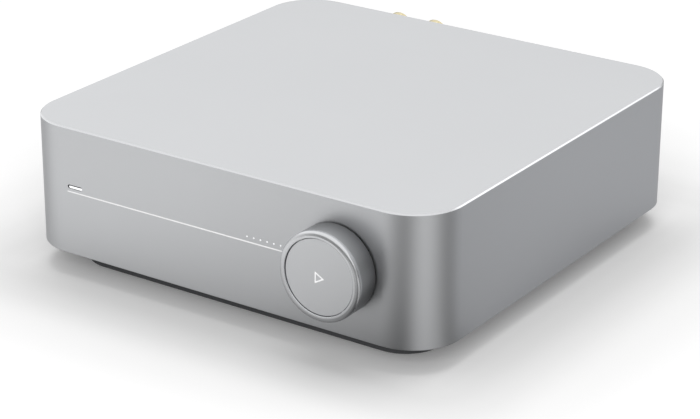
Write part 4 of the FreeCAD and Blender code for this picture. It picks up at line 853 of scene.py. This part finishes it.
screwCaps = {
    # radius, place along y, rounding
    "profile": [(3.05, 95.95, 0.08), (6.2, 95.95, 0.25), (6.2, 96.6, 0.2), (5.6, 97.2, 0.2),
                (5.6, 98.6, 0.1), (5.45, 98.8, 0.08), (5.45, 99.1, 0.08), (5.6, 99.3, 0.1),
                (5.6, 100.7, 0.25), (6.35, 101.4, 0.2), (6.35, 102.4, 0.05), (6.35, 103.0, 0.05),
                (6.35, 106.1, 0.05), (6.35, 109.1, 0.05), (6.35, 109.7, 0.05), (6.35, 110.25, 0.12),
                (5.75, 110.85, 0.15), (4.4, 110.85, 0.1), (4.1, 110.65, 0.1), (3.5, 110.65, 0.15),
                (3.05, 110.2, 0.1)],
    "flutes": 20, "fluteRadius": 0.48, "fluteCentre": 6.6,
    "fluteFrom": 102.4, "fluteTo": 109.7, "fluteEnd": 0.6,
    # degrees from the middle of a flute, close together over its edge
    "fluteSteps": [-3.8, -3.3, -2.5, -1.3, 0.0, 1.3, 2.5, 3.3, 3.8, 4.6, 9.0, 13.4],
}


# A flute is a round cutter beside the cap: at angle a from its middle it leaves the radius
# c·cos a - sqrt(f² - (c·sin a)²), and it fades out over its two ends. Beside it nothing is cut.
def makeScrewCaps(values):
    line = roundedLine(values["profile"])
    pitch = 2 * math.pi / values["flutes"]
    steps = np.radians(values["fluteSteps"])
    angles = (pitch * np.arange(values["flutes"])[:, None] + steps[None]).ravel()
    local = np.tile(steps, values["flutes"])
    local = local - pitch * np.round(local / pitch)
    sideways = values["fluteCentre"] * np.sin(local)
    under = values["fluteRadius"] ** 2 - sideways ** 2
    cut = values["fluteCentre"] * np.cos(local) - np.sqrt(np.maximum(under, 0))
    cut = np.where(under > 0, cut, np.inf)
    radius, along = line[:, :1], line[:, 1:]
    fade = np.clip((along - values["fluteFrom"]) / values["fluteEnd"], 0, 1)
    fade = fade * np.clip((values["fluteTo"] - along) / values["fluteEnd"], 0, 1)
    deeper = radius - (radius - np.minimum(radius, cut)) * fade
    profile = np.stack([deeper, along + np.zeros_like(deeper)], -1)
    for number in (1, 2, 3, 4):
        x, _, z = middleOf("post_cap_%d" % number)
        addPiece("screwCap%d" % number, [turned(profile, (x, 0, z), angles)], "carried_gold",
                 "post_cap_body_%d" % number, "post_cap_%d" % number)


phonoTubes = {
    "heights": (25.0, 37.5, 50.0),
    # radius, place along y, rounding: root collar, waist and rolled lip
    "profile": [(3.65, 87.65, 0.05), (4.4, 87.65, 0.1), (4.4, 91.0, 0.2), (4.15, 91.25, 0.08),
                (4.15, 92.1, 0.1), (4.0, 92.35, 0.1), (4.0, 98.3, 0.1), (4.15, 98.6, 0.12),
                (4.15, 99.85, 0.22), (3.65, 99.85, 0.22), (3.65, 99.2, 0.1)],
    "columns": 96,
}


# The profile turned round the axis of each socket, along y
def makePhonoTubes(values):
    x = middleOf("phono_sleeves")[0]
    line = roundedLine(values["profile"])
    tubes = [turned(line, (x, 0, z), wholeTurn(values["columns"])) for z in values["heights"]]
    addPiece("phonoTubes", tubes, "carried_gold", "chassis", "phono_sleeves")


statusLight = {
    "guide": (6.7, 1.0),            # length and height of the guide, which lies on the slot's floor
    "shift": (0.16, -0.21),         # from the middle of the slot: right and down
    "flange": (9.15, 3.6),
    # share of the guide's half height that each row lies in from the edge, mm behind the guide's front
    "front": [(1.0, 0.0), (0.7, 0.0), (0.35, 0.01), (0.14, 0.04), (0.04, 0.1), (0.0, 0.2), (0.0, 2.75)],
    "flangeFrom": 2.8, "flangeTo": 3.8, "ease": 0.1, "columns": 64,
}


# Each row is a pill: two half circles of the radius R, their centres L - R left and right of the
# middle, so the point at angle a is (sign(cos a)·(L - R) + R·cos a, R·sin a).
def makeStatusLight(values):
    low, high = cornersOf("status_lens")
    midX, _, midZ = (low + high) / 2
    x, z = midX + values["shift"][0], midZ + values["shift"][1]
    halfLong, halfHigh = values["guide"][0] / 2, values["guide"][1] / 2
    wide, tall = values["flange"][0] / 2, values["flange"][1] / 2
    deep, front, ease = high[1], low[1], values["ease"]
    near, far = front + values["flangeFrom"], front + values["flangeTo"]
    rows = [(halfLong - s * halfHigh, halfHigh * (1 - s), front + b, x, z) for s, b in values["front"]]
    rows += [(wide - ease, tall - ease, near, midX, midZ), (wide, tall, near + ease, midX, midZ),
             (wide, tall, far - ease, midX, midZ), (wide - ease, tall - ease, far, midX, midZ),
             (halfLong, halfHigh, far + ease / 2, x, z), (halfLong, halfHigh, deep, x, z),
             (halfLong - halfHigh, 0.0, deep, x, z)]
    length, radius, back, across, up = np.array(rows).T[:, :, None]
    angles = wholeTurn(values["columns"]) + math.pi / values["columns"]
    aside = np.sign(np.cos(angles)) * (length - radius) + radius * np.cos(angles)
    points = np.stack([across + aside, back + np.zeros_like(aside), up + radius * np.sin(angles)], -1)
    part = partOf(points * mm, False)
    addPiece("statusLight", [part], "masked_guide", "chassis", "status_lens")


footRing = {
    # distance inwards, height, rounding: a soft bead with a shallow channel under it
    "profile": [(0.0, 1.6, 0.1), (0.0, 0.0, 0.55), (2.4, 0.0, 0.2), (2.9, 0.4, 0.2), (4.95, 0.4, 0.2),
                (5.45, 0.0, 0.2), (7.85, 0.0, 0.55), (7.85, 1.6, 0.1)],
    "corner": 10.0, "shrink": 0.625,
    "steps": 5, "finish": "foot_rubber", "node": "foot_ring",
}
coil = {
    # distance inwards, height, rounding: two flanges of the former, and the taped wire between them
    "profile": [(0.0, 23.8, 0.15), (0.0, 24.7, 0.15), (0.75, 24.7, 0.1), (0.45, 26.2, 0.6),
                (0.2, 30.0, 1.2), (0.2, 35.2, 1.2), (0.45, 39.0, 0.6), (0.75, 40.5, 0.1),
                (0.0, 40.5, 0.15), (0.0, 41.4, 0.15), (6.4, 41.4, 0.15), (6.4, 23.8, 0.15)],
    "corner": 7.0, "shrink": 0.95,
    "steps": 5, "finish": "winding_tape", "node": "transformer_winding",
}


# The profile carried round the outline of the node's own box
def makeBand(name, values):
    low, high = cornersOf(values["node"])
    half, centre = (high - low)[:2] / 2, ((high + low) / 2)[:2]
    line = roundedLine(values["profile"], values["steps"])
    part = carriedRound(line, centre, half, values["corner"], values["shrink"])
    addPiece(name, [part], values["finish"], "chassis", values["node"])


bulkCan = {
    # radius, height, rounding: crimped foot, sleeve, rolled shoulder and the bare dished top
    "profile": [(0.0, 19.6, 0.0), (10.4, 19.6, 0.6), (11.0, 20.6, 0.4), (11.0, 22.6, 0.3),
                (10.3, 23.3, 0.3), (11.0, 24.0, 0.3), (11.0, 52.6, 0.9), (9.5, 52.6, 0.3),
                (9.1, 52.1, 0.2), (0.0, 52.1, 0.0)],
    "columns": 96,
}
outputCoils = {
    "pitch": 14.0, "count": 4, "columns": 64,
    # radius, height, rounding: a drum with a wound waist
    "profile": [(0.0, 19.6, 0.0), (6.0, 19.6, 0.3), (6.0, 21.3, 0.2), (5.3, 21.7, 0.2), (5.3, 28.5, 0.2),
                (6.0, 28.9, 0.2), (6.0, 30.6, 0.4), (1.6, 30.6, 0.2), (1.3, 30.1, 0.2), (0.0, 30.1, 0.0)],
}


# Profiles turned round upright axes: one for the can, and one for each coil of the row
def makeDrums(can, coils):
    x, y, _ = middleOf("bulk_capacitor")
    part = turned(roundedLine(can["profile"]), (x, y, 0), wholeTurn(can["columns"]), "z")
    addPiece("bulkCan", [part], "capacitor_sleeve", "chassis", "bulk_capacitor")
    x, y, _ = middleOf("output_inductors")
    places = x + coils["pitch"] * (np.arange(coils["count"]) - (coils["count"] - 1) / 2)
    line = roundedLine(coils["profile"])
    drums = [turned(line, (place, y, 0), wholeTurn(coils["columns"]), "z") for place in places]
    addPiece("outputDrums", drums, "ferrite", "chassis", "output_inductors")


lineChoke = {
    "ring": 8.0, "core": 3.45, "wire": 0.3, "gap": 0.02,
    "turns": 14, "span": 140.0, "starts": (20.0, 200.0),
    "stepsPerTurn": 28, "coreRows": 48, "coreColumns": 96,
}


# The core is a ring: (ring + core·cos b) round z, core·sin b up. A wire's path lies on the same ring,
# thicker by the wire's radius and a gap, and b goes round once for each turn while a covers the span.
def makeLineChoke(values):
    centre = middleOf("line_choke")
    b, a = wholeTurn(values["coreRows"])[:, None], wholeTurn(values["coreColumns"])[None]
    reach, rise = values["ring"] + values["core"] * np.cos(b), values["core"] * np.sin(b)
    grid = np.stack([reach * np.cos(a), reach * np.sin(a), rise + np.zeros_like(a)], -1)
    part = partOf((grid + centre) * mm, True)
    addPiece("chokeCore", [part], "ferrite", "chassis", "line_choke")
    t = np.linspace(0, 1, values["turns"] * values["stepsPerTurn"])
    b = 2 * math.pi * values["turns"] * t
    wires = []
    for start in values["starts"]:
        a = np.radians(start + values["span"] * t)
        outwards = np.stack([np.cos(b) * np.cos(a), np.cos(b) * np.sin(a), np.sin(b)], -1)
        hub = np.stack([np.cos(a), np.sin(a), np.zeros_like(a)], -1) * values["ring"]
        path = centre + hub + outwards * (values["core"] + values["wire"] + values["gap"])
        wires.append(wireAlong(path, outwards, values["wire"]))
    addPiece("chokeWires", wires, "copper_wire", "chassis", None)


flatCable = {
    # place along y, height, rounding, of the middle of the cable
    "path": [(-87.55, 31.45, 0.0), (-77.7, 31.45, 2.2), (-77.7, 19.76, 2.2), (-58.15, 19.76, 0.0)],
    "wires": 14, "thick": 0.3, "web": 0.45, "bendSteps": 12, "bendSupport": 0.05, "pointsPerWire": 8,
}


# Across the cable the half thickness is thick/2·(web + (1 - web)·|sin|), one arch for each wire. The
# section is carried along the path, square to it.
def makeFlatCable(values):
    low, high = cornersOf("ribbon_cable")
    steps = values["bendSteps"]
    path = roundedLine(values["path"], steps, values["bendSupport"])
    path = np.concatenate([path[:1], path[steps + 2:-steps - 2], path[-1:]])
    along = unit(np.gradient(path, axis=0))
    up = np.stack([-along[:, 1], along[:, 0]], -1)
    share = np.linspace(0, 1, values["wires"] * values["pointsPerWire"] + 1)
    arch = values["web"] + (1 - values["web"]) * np.abs(np.sin(share * values["wires"] * math.pi))
    half = values["thick"] / 2 * arch
    x = np.concatenate([share, share[::-1]]) * (high[0] - low[0]) + low[0]
    off = np.concatenate([half, -half[::-1]])
    place = path[:, None] + up[:, None] * off[None, :, None]
    points = np.stack([x[None] + np.zeros(place.shape[:2]), place[..., 0], place[..., 1]], -1)
    ends = [np.repeat(points[k].mean(0)[None, None], len(x), 1) for k in (0, -1)]
    part = partOf(np.concatenate([ends[0], points, ends[1]]) * mm, False)
    addPiece("flatCable", [part], "flat_cable", "chassis", "ribbon_cable")


makeKnobPiece("knobRim", knobRim)
makeKnobPiece("knobDisc", knobDisc)
makePlayMark(playMark)
print("knob pieces made")
makeScrewCaps(screwCaps)
makePhonoTubes(phonoTubes)
print("rear pieces made")
makeStatusLight(statusLight)
makeBand("footBead", footRing)
makeBand("tapedCoil", coil)
makeDrums(bulkCan, outputCoils)
makeLineChoke(lineChoke)
makeFlatCable(flatCable)
print("inner pieces made")
